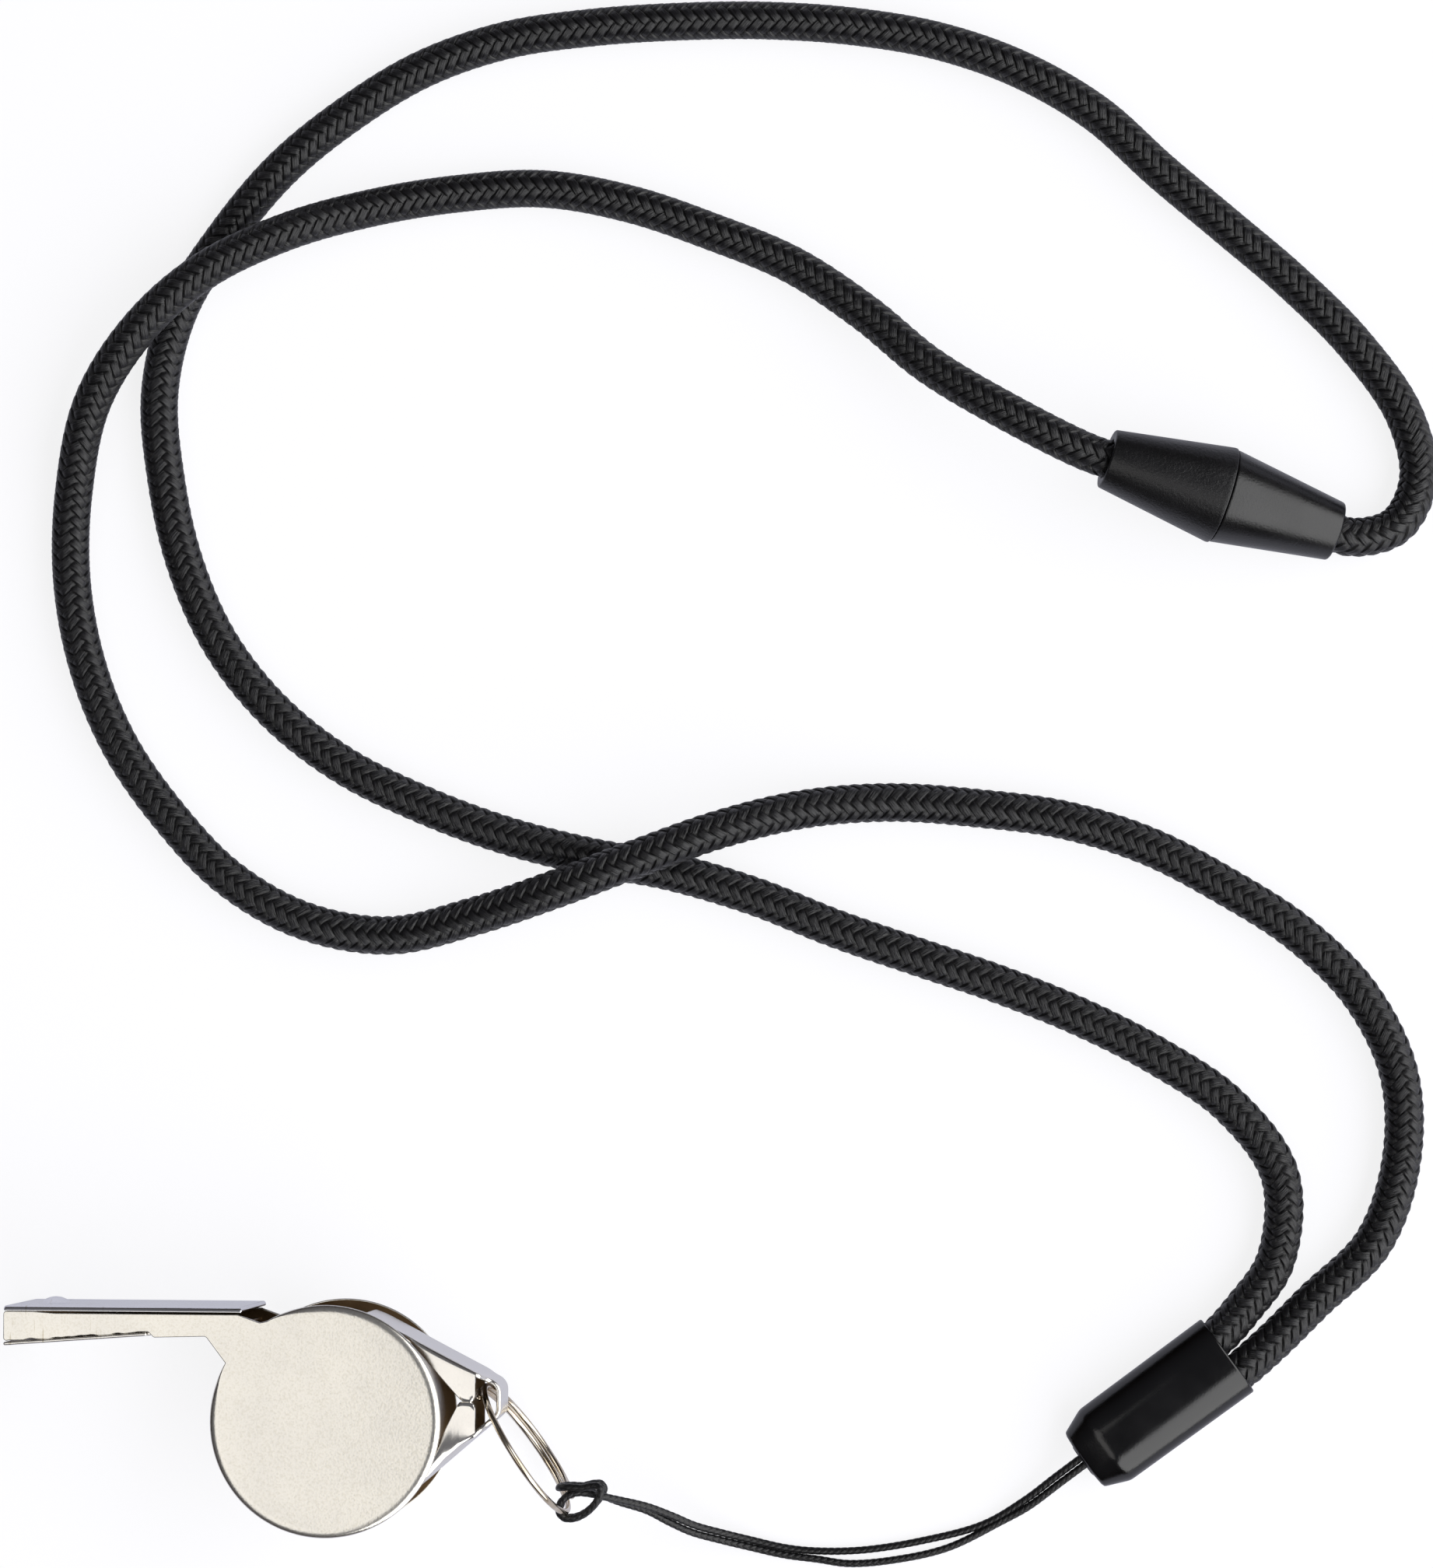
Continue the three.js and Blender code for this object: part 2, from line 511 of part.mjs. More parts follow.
// Overhand knot that joins the two tether ends and stops them behind the cap
function tetherKnot() {
  const middle = inClamp(CLAMP_LENGTH - TETHER_HOLE_DEPTH - CORD_END_GAP - KNOT_DIAMETER / 2, 0);
  return new THREE.SphereGeometry(KNOT_DIAMETER / 2, ...KNOT_FACETS).translate(...middle.toArray());
}

const breakAxis = new THREE.Vector3(
  ...polar(Math.cos(BREAK_TILT * RAD), BREAK_HEADING), -Math.sin(BREAK_TILT * RAD));

// Point on the breakaway axis, measured from the seam towards the plug's cord
const onBreak = (distance) => new THREE.Vector3(...BREAK_SEAM).addScaledVector(breakAxis, distance);

// Solid of revolution about the breakaway axis from [radius, distance] points
function breakTurned(profile) {
  const lathe = new THREE.LatheGeometry(profile.map(([r, d]) => new THREE.Vector2(r, d)), ROUND_SIDES);
  const turn = new THREE.Quaternion().setFromUnitVectors(new THREE.Vector3(0, 1, 0), breakAxis);
  return lathe.applyQuaternion(turn).translate(...BREAK_SEAM);
}

const CORD_BORE = CORD_DIAMETER / 2 + CORD_BORE_CLEARANCE;

function breakawaySocket() {
  const outside = breakTurned([
    [0, -SOCKET_LENGTH], [BREAK_END_RADIUS, -SOCKET_LENGTH],
    [SOCKET_RIM_RADIUS, -RIM_LAND], [SOCKET_RIM_RADIUS, 0], [0, 0],
  ]);
  const throat = STEM_RADIUS + BEAD_HEIGHT + STEM_FIT;
  const shoulder = CORD_BORE_DEPTH - SOCKET_LENGTH;
  const bore = breakTurned([
    [0, -SOCKET_LENGTH - OVERSHOOT], [CORD_BORE, -SOCKET_LENGTH - OVERSHOOT], [CORD_BORE, shoulder],
    [FERRULE_BORE_RADIUS, shoulder], [throat, -STEM_LENGTH], [throat, OVERSHOOT], [0, OVERSHOOT],
  ]);
  return cut(outside, bore);
}

function breakawayPlug() {
  const bead = STEM_RADIUS + BEAD_HEIGHT;
  const beadStart = BEAD_RAMP - STEM_LENGTH;
  const beadEnd = beadStart + BEAD_LAND;
  const outside = breakTurned([
    [0, -STEM_LENGTH], [STEM_RADIUS - STEM_NOSE, -STEM_LENGTH], [bead, beadStart], [bead, beadEnd],
    [STEM_RADIUS, beadEnd + BEAD_BACK], [STEM_RADIUS, SEAM_GAP], [PLUG_RIM_RADIUS, SEAM_GAP],
    [PLUG_RIM_RADIUS, RIM_LAND], [BREAK_END_RADIUS, PLUG_LENGTH], [0, PLUG_LENGTH],
  ]);
  const shoulder = PLUG_LENGTH - CORD_BORE_DEPTH;
  const bore = breakTurned([
    [0, PLUG_FLOOR], [FERRULE_BORE_RADIUS, PLUG_FLOOR], [FERRULE_BORE_RADIUS, shoulder],
    [CORD_BORE, shoulder], [CORD_BORE, PLUG_LENGTH + OVERSHOOT], [0, PLUG_LENGTH + OVERSHOOT],
  ]);
  return cut(outside, bore);
}

// Crimped tip that stops a cord end behind the shoulder of its bore
function ferrule(start) {
  const end = start + FERRULE_LENGTH;
  return breakTurned([[0, start], [FERRULE_RADIUS, start], [FERRULE_RADIUS, end], [0, end]]);
}

const clampEntry = (aside) => [
  inClamp(CORD_DEPTH, aside).toArray(), inClamp(CORD_DEPTH / 2, aside).toArray(), inClamp(0, aside).toArray(),
];
const SOCKET_CORD_END = -SOCKET_LENGTH + CORD_BORE_DEPTH - CORD_END_GAP;
const PLUG_CORD_END = PLUG_LENGTH - CORD_BORE_DEPTH + CORD_END_GAP;
const leftCordPath = [...clampEntry(-CORD_SPACING / 2), ...LEFT_ROUTE];
const releasePath = [
  ...RELEASE_ROUTE, onBreak(-SOCKET_LENGTH - CORD_DIAMETER / 2).toArray(), onBreak(SOCKET_CORD_END).toArray(),
];
const rightCordPath = [
  ...clampEntry(CORD_SPACING / 2), ...RIGHT_ROUTE,
  onBreak(PLUG_LENGTH + CORD_DIAMETER / 2).toArray(), onBreak(PLUG_CORD_END).toArray(),
];

// The two stretches of the left cord meet face to face with a small gap
const [meeting, next] = vectors(releasePath);
releasePath[0] = meeting.add(next.sub(meeting).normalize().multiplyScalar(CORD_END_GAP)).toArray();

// Least free distance of the wound ring wire from itself, between points a few diameters apart along it
function ringGap() {
  const count = GAP_SAMPLES_PER_STEP * RING_STEPS;
  const at = (i) => ringPoint(RING_START + (RING_SWEEP * i) / count);
  const samples = Array.from({ length: count + 1 }, (_, i) => at(i));
  const spacing = (RING_RADIUS * RAD * RING_SWEEP) / count;
  const skip = Math.ceil((GAP_SKIP_DIAMETERS * RING_WIRE) / spacing);
  let least = Infinity;
  samples.forEach((p, i) => {
    samples.slice(i + skip).forEach((q) => {
      least = Math.min(least, p.distanceTo(q));
    });
  });
  return least - RING_WIRE;
}

console.log("split ring least gap to itself, mm:", ringGap().toFixed(3));

const group = new THREE.Group();

function add(name, geometry, material) {
  const mesh = new THREE.Mesh(geometry, material);
  mesh.name = name;
  group.add(mesh);
}

add("front_side_plate", sidePlate(THICKNESS - SHEET), NICKEL);
add("rear_side_plate", sidePlate(0), NICKEL);
add("barrel_band", barrelBand(), NICKEL);
add("mouthpiece_roof", mouthpieceRoof(), NICKEL);
add("windway_floor", windwayFloor(), NICKEL);
add("tail_lug", tailLug(), NICKEL);
add("pea", pea(), CORK);
add("split_ring", tube(ringPath, RING_WIRE), STEEL_WIRE);
add("tether_cord", tube(tetherPath, TETHER_DIAMETER), WAXED);
add("tether_knot", tetherKnot(), WAXED);
add("clamp_sleeve", clampSleeve(), PLASTIC);
add("clamp_end_cap", clampEndCap(), PLASTIC);
add("neck_cord_left", tube(leftCordPath, CORD_DIAMETER), BRAID);
add("neck_cord_right", tube(rightCordPath, CORD_DIAMETER), BRAID);
add("neck_cord_release", tube(releasePath, CORD_DIAMETER), BRAID);
add("breakaway_socket", breakawaySocket(), PLASTIC);
add("breakaway_plug", breakawayPlug(), PLASTIC);
add("socket_cord_ferrule", ferrule(SOCKET_CORD_END + CORD_END_GAP), FERRULE_METAL);
add("plug_cord_ferrule", ferrule(PLUG_CORD_END - CORD_END_GAP - FERRULE_LENGTH), FERRULE_METAL);

export default group;
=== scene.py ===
import bpy
import numpy as np
from mathutils import Matrix, Vector
from numpy import array, clip, concatenate as join, cos, linspace, pi, radians, sin, stack


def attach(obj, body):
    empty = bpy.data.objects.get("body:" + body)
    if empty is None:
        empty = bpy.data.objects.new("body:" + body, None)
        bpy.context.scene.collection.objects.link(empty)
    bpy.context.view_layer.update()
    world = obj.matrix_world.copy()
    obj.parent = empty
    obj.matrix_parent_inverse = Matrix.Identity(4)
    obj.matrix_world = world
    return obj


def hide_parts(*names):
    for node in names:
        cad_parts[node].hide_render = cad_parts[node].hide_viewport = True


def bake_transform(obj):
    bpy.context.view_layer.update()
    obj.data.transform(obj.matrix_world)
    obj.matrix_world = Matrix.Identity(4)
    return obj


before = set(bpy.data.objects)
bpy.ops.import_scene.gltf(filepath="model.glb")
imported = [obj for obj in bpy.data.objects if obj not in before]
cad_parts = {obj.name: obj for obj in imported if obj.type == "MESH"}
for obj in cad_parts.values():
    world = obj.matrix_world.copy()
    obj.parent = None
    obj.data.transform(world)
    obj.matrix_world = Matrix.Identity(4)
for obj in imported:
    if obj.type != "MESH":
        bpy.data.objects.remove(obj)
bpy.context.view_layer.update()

# Nickel plated pea whistle on a braided neck cord. Sizes are in millimetres in the part's own frame:
# the barrel axis is Z, the floor is z = 0, the mouthpiece points to -X and the tail lug to +X.
MM = 0.001
TURN = 2 * pi

# How finely curves are drawn: degrees along an arc, samples between two given points, points round a section
ARC_STEP, FILLET_STEP, SPAN_SAMPLES = 2.0, 12.0, 60
TURNED_SIDES, OVAL_POINTS, EDGE_POINTS, END_POINTS = 96, 40, 7, 6

# Whistle sizes, as in the part
SHEET, SOLDER_GAP, THICKNESS = 0.5, 0.05, 16.0
PLATE_RADIUS, BAND_RADIUS = 11.0, 10.0
LIP_ANGLE, LIP_LAP, UNDERSIDE_ANGLE = 119.0, 1.5, 150.0
MOUTH_TOP, MOUTH_BOTTOM = (-31.4, 10.35), (-31.4, 7.45)
ROOF_END = (-8.2, 10.2)
NOTCH_START, NOTCH_END = (-8.6, 10.2), (-6.45, 9.3)
FLOOR_STEP = (-17.3, 8.4)
UNDERSIDE_MOUTH_END, UNDERSIDE_BARREL_END = (-16.75, 7.85), (-11.7, 7.95)
WINDWAY_END, FLOOR_SHEET = (-8.6, 9.0), 0.35
BUMP_X, BUMP_RADIUS, BUMP_HEIGHT = -27.8, 1.75, 0.6
UPPER_LEG_NORMAL, LOWER_LEG_NORMAL, LUG_FOOT_ARC = 62.2, -49.5, 11.0
LUG_TIP_X, LUG_BEND, LUG_WIDTH, LUG_TIP_WIDTH, SLOT_WIDTH = 16.5, 1.2, 10.0, 7.4, 1.8
PEA_RADIUS, PEA_CENTRE = 4.5, (1.607, -4.417, 5.3)

# Whistle detail that only the looks have. The cheek is a little larger and further to the lower left than the part's,
# as in the photograph; each leg of the lug starts at an x, and its flanges lean and are rolled by given amounts.
CHEEK_SHIFT, CHEEK_GROWTH, CHEEK_EDGE, PLATE_EDGE = (-0.13, -0.15), 0.15, 0.82, 0.1
BACK_EDGE, EDGE_FLAT, SEAM_LINE, SOLDER_LUMP = 0.08, 0.06, 0.13, 0.09
ROOF_EDGE, ROOF_CORNER, BUMP_POWER = 0.44, 0.6, 1.3
UPPER_LEG_START, LOWER_LEG_START, LEG_ROWS, LEG_END_ROWS = 7.15, 8.75, 60, 16
SLOT_ROUND, LEAN_HEIGHT, LEAST_REACH, TUCK = 0.6, 1.6, 0.34, 0.012

# Ring and tether sizes, as in the part. The hitch's upper half lies round the ring wire; the lower half is its mirror.
RING_SLOT, RING_RADIUS, RING_WIRE = (14.35, 2.6, 8.0), 7.2, 0.62
RING_HEADING, RING_LEAN, RING_START, RING_SWEEP = -54.0, 4.0, -25.0, 540.0
TETHER_DIAMETER, STRAND_OFFSET = 0.75, 0.38
HITCH_HALF = [
    (25.94, -7.76, 8.42), (24.81, -7.49, 8.75), (23.66, -7.41, 8.95), (22.68, -7.76, 8.95), (22.01, -8.48, 8.85),
    (21.89, -9.27, 8.75), (22.4, -9.85, 8.75), (23.3, -9.89, 8.85), (24.2, -9.54, 9.0), (25.03, -8.9, 9.3),
    (25.72, -8.03, 9.65), (26.09, -7.27, 9.8), (25.82, -6.74, 9.75), (25.04, -6.7, 9.5), (24.14, -6.9, 9.3),
    (23.24, -6.86, 9.2), (22.42, -6.86, 9.0), (21.95, -6.94, 8.6), (21.84, -7.0, 8.0),
]
TETHER_UPPER = [
    (27.66, -8.2, 7.45), (30.3, -8.95, 5.9), (32.75, -10.02, 4.35), (34.8, -11.03, 2.95), (37.42, -11.85, 1.8),
    (40.07, -12.56, 1.0), (43.7, -13.4, 0.55), (46.74, -13.7, 0.45), (51.17, -13.59, 0.45), (56.93, -12.68, 0.45),
    (63.12, -11.0, 0.6), (67.15, -8.6, 1.2), (70.3, -6.15, 2.0),
]
TETHER_LOWER = [
    (27.66, -8.5, 6.5), (30.2, -9.4, 5.3), (32.45, -10.68, 4.1), (34.5, -11.72, 2.85), (37.2, -12.55, 1.75),
    (39.9, -13.26, 0.95), (43.55, -14.1, 0.5), (46.74, -14.5, 0.45), (49.84, -14.91, 0.45), (54.27, -14.54, 0.45),
    (59.58, -13.33, 0.45), (64.88, -10.7, 0.8), (67.55, -9.2, 1.2), (70.75, -6.75, 2.0),
]

# Clamp, neck cord and breakaway sizes, as in the part. Route points without a height lie at CORD_REST.
CLAMP_MOUTH, CLAMP_HEADING = (87.1, 5.78, 2.75), 36.2
CLAMP_LENGTH, CLAMP_WIDTH, CLAMP_HEIGHT, CLAMP_WALL = 17.3, 8.9, 5.5, 0.6
TAPER_LENGTH, SIDE_TAPER, FACE_TAPER = 2.4, 1.2, 1.0
CLAMP_END_WALL, CAP_SIZE, CAP_LENGTH = 2.6, (3.6, 2.4), 2.0
CORD_DEPTH, TETHER_HOLE, TETHER_DEPTH, KNOT_RADIUS = 9.0, (2.6, 1.3), 4.0, 1.3
CORD_DIAMETER, CORD_SPACING, CORD_END_GAP = 3.7, 3.9, 0.3
CORD_REST = 1.9
LEFT_ROUTE = [
    (91.5, 7.0, 2.2), (95.6, 11.0), (101.5, 16.8), (104.3, 24.9), (104.1, 33.4), (100.5, 41.0), (94.5, 47.1),
    (87.3, 51.8), (79.7, 55.8), (71.5, 58.4), (63.0, 59.6), (54.4, 60.2, 2.2), (45.8, 59.5, 3.6), (37.4, 57.4, 5.5),
    (29.2, 54.5, 6.1), (21.0, 51.5, 5.4), (12.7, 48.9, 3.4), (4.2, 47.1, 2.0), (-4.4, 48.6), (-12.0, 52.9),
    (-18.1, 59.2), (-23.2, 66.5), (-26.5, 74.6), (-28.1, 83.3), (-27.8, 92.1, 2.5), (-25.6, 100.6, 4.6),
    (-20.7, 107.8, 6.0), (-14.3, 113.4, 6.1), (-6.3, 117.4, 5.3), (2.0, 120.2, 3.0), (10.7, 121.8), (19.5, 122.2),
    (28.1, 120.6), (36.4, 117.7),
]
RELEASE_ROUTE = [
    (44.5, 114.2, 2.1), (51.7, 109.2, 3.1), (58.1, 103.6, 4.8), (65.3, 98.9, 6.6),
]
RIGHT_ROUTE = [
    (88.6, 10.2, 2.2), (91.9, 15.0), (92.4, 23.3), (87.6, 30.1), (80.5, 35.0), (72.9, 38.9), (65.0, 42.1), (56.8, 44.9),
    (48.7, 47.7), (40.7, 50.9), (32.3, 53.4), (23.8, 55.0), (15.4, 57.2), (7.2, 60.3), (-0.6, 64.2), (-7.5, 69.6),
    (-13.0, 76.5), (-16.6, 84.5), (-18.6, 93.1), (-19.3, 101.9), (-17.3, 110.4), (-12.7, 117.8), (-7.0, 124.6),
    (-0.2, 130.1), (7.3, 134.6), (15.6, 137.4), (24.3, 138.6), (33.1, 139.1), (41.9, 139.1), (50.6, 138.4),
    (59.2, 136.8), (67.4, 133.8), (74.9, 129.3), (81.3, 123.4), (87.9, 117.7), (94.4, 112.0), (100.5, 105.7),
    (105.3, 98.6), (106.6, 92.2), (104.4, 87.6, 2.2),
]
BREAK_SEAM, BREAK_HEADING, BREAK_TILT = (87.1, 90.33, 4.84), -17.1, 8.6
SOCKET_LENGTH, PLUG_LENGTH, BREAK_END_RADIUS = 12.1, 11.9, 2.95
SOCKET_RIM_RADIUS, PLUG_RIM_RADIUS, RIM_EDGE = 4.85, 4.7, 0.3
CORD_BORE, CORD_BORE_DEPTH, FERRULE_BORE = 2.0, 2.2, 2.6
STEM_RADIUS, STEM_LENGTH, BEAD_RADIUS, STEM_FIT, SEAM_GAP, PLUG_FLOOR = 2.3, 5.2, 2.65, 0.1, 0.1, 2.5


def polar(radius, degrees):
    """Point at a radius and an angle about the origin."""
    return stack([radius * cos(radians(degrees)), radius * sin(radians(degrees))], -1)


def unit(vectors):
    """Vectors scaled to length one."""
    return vectors / np.linalg.norm(vectors, axis=-1, keepdims=True)


def arc(radius, start, end):
    """Points on a circle about the origin, from one angle to another."""
    count = max(2, int(round(abs(end - start) / ARC_STEP)) + 1)
    return polar(radius, linspace(start, end, count))


def ease(values, low, high):
    """Smooth step: 0 below low, 1 above high, 3t^2 - 2t^3 between."""
    t = clip((np.asarray(values, float) - low) / (high - low), 0, 1)
    return t * t * (3 - 2 * t)


def filleted(corners, radii, closed=False, step=FILLET_STEP):
    """Path with each corner replaced by an arc tangent to its two sides: the arc's centre lies on the corner's
    bisector at radius / sin(half angle). A radius of 0 keeps the corner."""
    corners = [np.asarray(c, float) for c in corners]
    last = len(corners) - 1
    path = []
    for i, p in enumerate(corners):
        if radii[i] <= 0 or (not closed and i in (0, last)):
            path.append(p[None])
            continue
        a, b = unit(corners[i - 1] - p), unit(corners[(i + 1) % len(corners)] - p)
        half = np.arccos(clip(a @ b, -1, 1)) / 2
        centre = p + unit(a + b) * radii[i] / sin(half)
        start, end = p + a * radii[i] / np.tan(half) - centre, p + b * radii[i] / np.tan(half) - centre
        turn = np.arctan2(start[0] * end[1] - start[1] * end[0], start @ end)
        angles = linspace(0, turn, max(2, int(np.degrees(abs(turn)) / step) + 2))
        c, s = cos(angles)[:, None], sin(angles)[:, None]
        path.append(centre + start * c + array([-start[1], start[0]]) * s)
    return join(path)


def gaps(path):
    """Distances between neighbours along a path of points."""
    return np.linalg.norm(np.diff(path, axis=0), axis=1)


def curve_through(points, step):
    """Centripetal Catmull-Rom curve through given points, resampled evenly by length.
    Returns the samples and the length along the curve at each given point."""
    p = np.asarray(points, float)
    p = join([2 * p[:1] - p[1:2], p, 2 * p[-1:] - p[-2:-1]])
    gap = gaps(p)[:, None] ** 0.5
    g0, g1, g2 = gap[:-2], gap[1:-1], gap[2:]
    p0, p1, p2, p3 = p[:-3], p[1:-2], p[2:-1], p[3:]
    m1 = ((p1 - p0) / g0 - (p2 - p0) / (g0 + g1) + (p2 - p1) / g1) * g1
    m2 = ((p2 - p1) / g1 - (p3 - p1) / (g1 + g2) + (p3 - p2) / g2) * g1
    t = linspace(0, 1, SPAN_SAMPLES, endpoint=False)[None, :, None]
    c2, c3 = -3 * p1 + 3 * p2 - 2 * m1 - m2, 2 * p1 - 2 * p2 + m1 + m2
    fine = p1[:, None] + m1[:, None] * t + c2[:, None] * t ** 2 + c3[:, None] * t ** 3
    fine = join([fine.reshape(-1, 3), p2[-1:]])
    length = join([[0], np.cumsum(gaps(fine))])
    count = int(round(length[-1] / step)) + 1
    along = linspace(0, length[-1], count)
    even = stack([np.interp(along, length, fine[:, k]) for k in range(3)], -1)
    return even, length[::SPAN_SAMPLES]


# Surfaces and meshes. A part is its points, its quads, its end polygons, the uv of the quads' corners and the u of
# each end polygon. On sheet metal u is 1 on the inside faces.

def grid(points, wrap_rows=False, inside=0.0, end_inside=(0, 0)):
    """Part made of a grid of points: quads between neighbours, closed round the columns, with polygons on open ends.
    inside is the u of the quads, for all, by column, or by row and column."""
    rows, columns = points.shape[:2]
    index = np.arange(rows * columns).reshape(rows, columns)
    lower = index if wrap_rows else index[:-1]
    upper = np.roll(index, -1, 0) if wrap_rows else index[1:]
    quads = stack([lower, np.roll(lower, -1, 1), np.roll(upper, -1, 1), upper], -1).reshape(-1, 4)
    ends = [] if wrap_rows else [index[0][::-1].tolist(), index[-1].tolist()]
    uv = np.zeros((len(lower), columns, 4, 2))
    uv[..., 0] = np.broadcast_to(inside, uv.shape[:2])[..., None]
    return points.reshape(-1, 3), quads, ends, uv.reshape(-1, 4, 2), end_inside


def outward(part):
    """The same closed part with its faces turned outwards, by the sign of its volume."""
    points, quads, ends, uv, end_inside = part
    tri = join([quads[:, [0, 1, 2]], quads[:, [0, 2, 3]]]
               + [stack([np.full(len(e) - 2, e[0]), e[1:-1], e[2:]], -1) for e in ends])
    a, b, c = points[tri[:, 0]], points[tri[:, 1]], points[tri[:, 2]]
    if np.einsum("ij,ij->", a, np.cross(b, c)) < 0:
        quads, ends, uv = quads[:, ::-1], [e[::-1] for e in ends], uv[:, ::-1]
    return points, quads, ends, uv, end_inside


def add_object(name, data):
    """New object in the scene."""
    obj = bpy.data.objects.new(name, data)
    bpy.context.scene.collection.objects.link(obj)
    return obj


def piece(name, parts, finish, body=None, stands_for=(), crease=50.0):
    """Mesh object made of closed parts, at the origin, in metres, riding on a body."""
    faces, points, uvs, start = [], [], [], 0
    for part in parts:
        p, quads, ends, uv, end_inside = outward(part)
        faces += (quads + start).tolist() + [[i + start for i in end] for end in ends]
        points.append(p)
        uvs += [uv.reshape(-1, 2)] + [np.tile((mark, 0.0), (len(end), 1)) for mark, end in zip(end_inside, ends)]
        start += len(p)
    mesh = bpy.data.meshes.new(name)
    mesh.from_pydata(join(points) * MM, [], faces)
    layer = mesh.uv_layers.new(name="strands")
    layer.data.foreach_set("uv", join(uvs).astype(np.float32).ravel())
    mesh.polygons.foreach_set("use_smooth", np.ones(len(mesh.polygons), bool))
    mesh.set_sharp_from_angle(angle=radians(crease))
    mesh.materials.append(finish)
    obj = add_object(name, mesh)
    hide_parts(*stands_for)
    if body:
        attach(obj, body)
    return obj


def plate(outline, low, high, soft):
    """Flat blank with rounded edges. The upper edge is a quarter ellipse as wide as soft, the lower one a small
    quarter circle: each ring of points is the outline moved inwards along its mitred normal."""
    before, after = unit(outline - np.roll(outline, 1, 0)), unit(np.roll(outline, -1, 0) - outline)
    mean = unit(before + after)
    reach = 1 / clip(np.einsum("ij,ij->i", mean, after), 0.5, 1)
    inward = stack([-mean[:, 1], mean[:, 0]], -1) * reach[:, None]
    drop = np.minimum(soft, 0.85 * (high - low) - BACK_EDGE)
    front, back = (radians(linspace(*ends))[:, None] for ends in ((0, 90, 10), (90, 0, 5)))
    level = np.ones((1, len(outline)))
    inset = join([[soft + EDGE_FLAT], soft * (1 - sin(front)), BACK_EDGE * (1 - sin(back)) * level,
                  (BACK_EDGE + EDGE_FLAT) * level])
    z = join([high * level, high - drop * (1 - cos(front)), (low + BACK_EDGE * (1 - cos(back))) * level, low * level])
    return grid(join([outline + inward * inset[..., None], z[..., None]], -1), end_inside=(0, 1))


def strip(path, thickness, low, high, radius, inner_radius=None, lift=None, inset=None, across=8, inner_face=-1):
    """Bent sheet: a rounded slot section carried along a plane path. low and high are the two long edges' heights,
    radius rounds the edges of the face on the path's left and inner_radius those of the other face, lift(x, z)
    raises the left face, inset shrinks the section towards rounded ends. inner_face tells which face is inside."""
    t, ro = thickness / 2, radius
    ri = radius if inner_radius is None else inner_radius
    corner = radians(linspace(0, 90, EDGE_POINTS))
    edge = np.zeros(2 * EDGE_POINTS)
    side, back = linspace(0, 1, across + 1), linspace(1, 0, across + 1)
    f = join([side[:-1], edge + 1, back[1:-1], edge])
    dn = join([
        np.full(across, t), t - ro + ro * cos(corner), ri - t - ri * sin(corner),
        np.full(across - 1, -t), ri - t - ri * cos(corner), t - ro + ro * sin(corner)])
    dz = join([
        np.zeros(across), ro * sin(corner) - ro, ri * cos(corner) - ri,
        np.zeros(across - 1), ri - ri * sin(corner), ro - ro * cos(corner)])
    flat_in = join([np.full(across, ro), edge, np.full(across - 1, ri), edge])
    along = unit(np.gradient(path, axis=0))
    normal = stack([-along[:, 1], along[:, 0]], -1)
    count = len(path)
    low, high = (np.broadcast_to(np.asarray(v, float), count)[:, None] for v in (low, high))
    inset = np.zeros((count, 1)) if inset is None else np.asarray(inset, float)[:, None]
    scale = (t - inset) / t
    z = low + inset + flat_in + f * (high - low - 2 * inset - 2 * flat_in) + dz
    flat = path[:, None] + normal[:, None] * (dn * scale)[..., None]
    if lift is not None:
        flat = flat + normal[:, None] * (lift(flat[..., 0], z) * (dn > 0.99 * t))[..., None]
    return grid(join([flat, z[..., None]], -1), inside=(np.sign(dn) == inner_face) * (flat_in > 0))


def end_rounds(path, radius, tail=True):
    """Path with extra points at its ends, and the inset at each that rounds the ends by that radius. Without tail the
    last end stays square."""
    b = radians(linspace(0, 90, END_POINTS))
    run, inset = radius * (1 - cos(b)), radius * (1 - sin(b))
    first = path[0] + unit(path[1] - path[0]) * run[:, None]
    last = path[-1] - unit(path[-1] - path[-2]) * run[::-1, None] if tail else path[-1:]
    last_inset = inset[::-1] if tail else np.zeros(1)
    return join([first, path[1:-1], last]), join([inset, np.zeros(len(path) - 2), last_inset])


def tube_frame(path, reference):
    """Side and up directions across a path that is never parallel to the reference direction."""
    along = unit(np.gradient(path, axis=0))
    side = unit(np.cross(reference, along))
    return side, np.cross(along, side)


def round_tube(path, radius, reference, sides):
    """Circle carried along a path; radius may change along it."""
    side, up = tube_frame(path, reference)
    angle = linspace(0, TURN, sides, endpoint=False)
    radius = np.broadcast_to(np.asarray(radius, float), len(path))[:, None, None]
    ring = side[:, None] * cos(angle)[:, None] + up[:, None] * sin(angle)[:, None]
    return grid(path[:, None] + ring * radius)


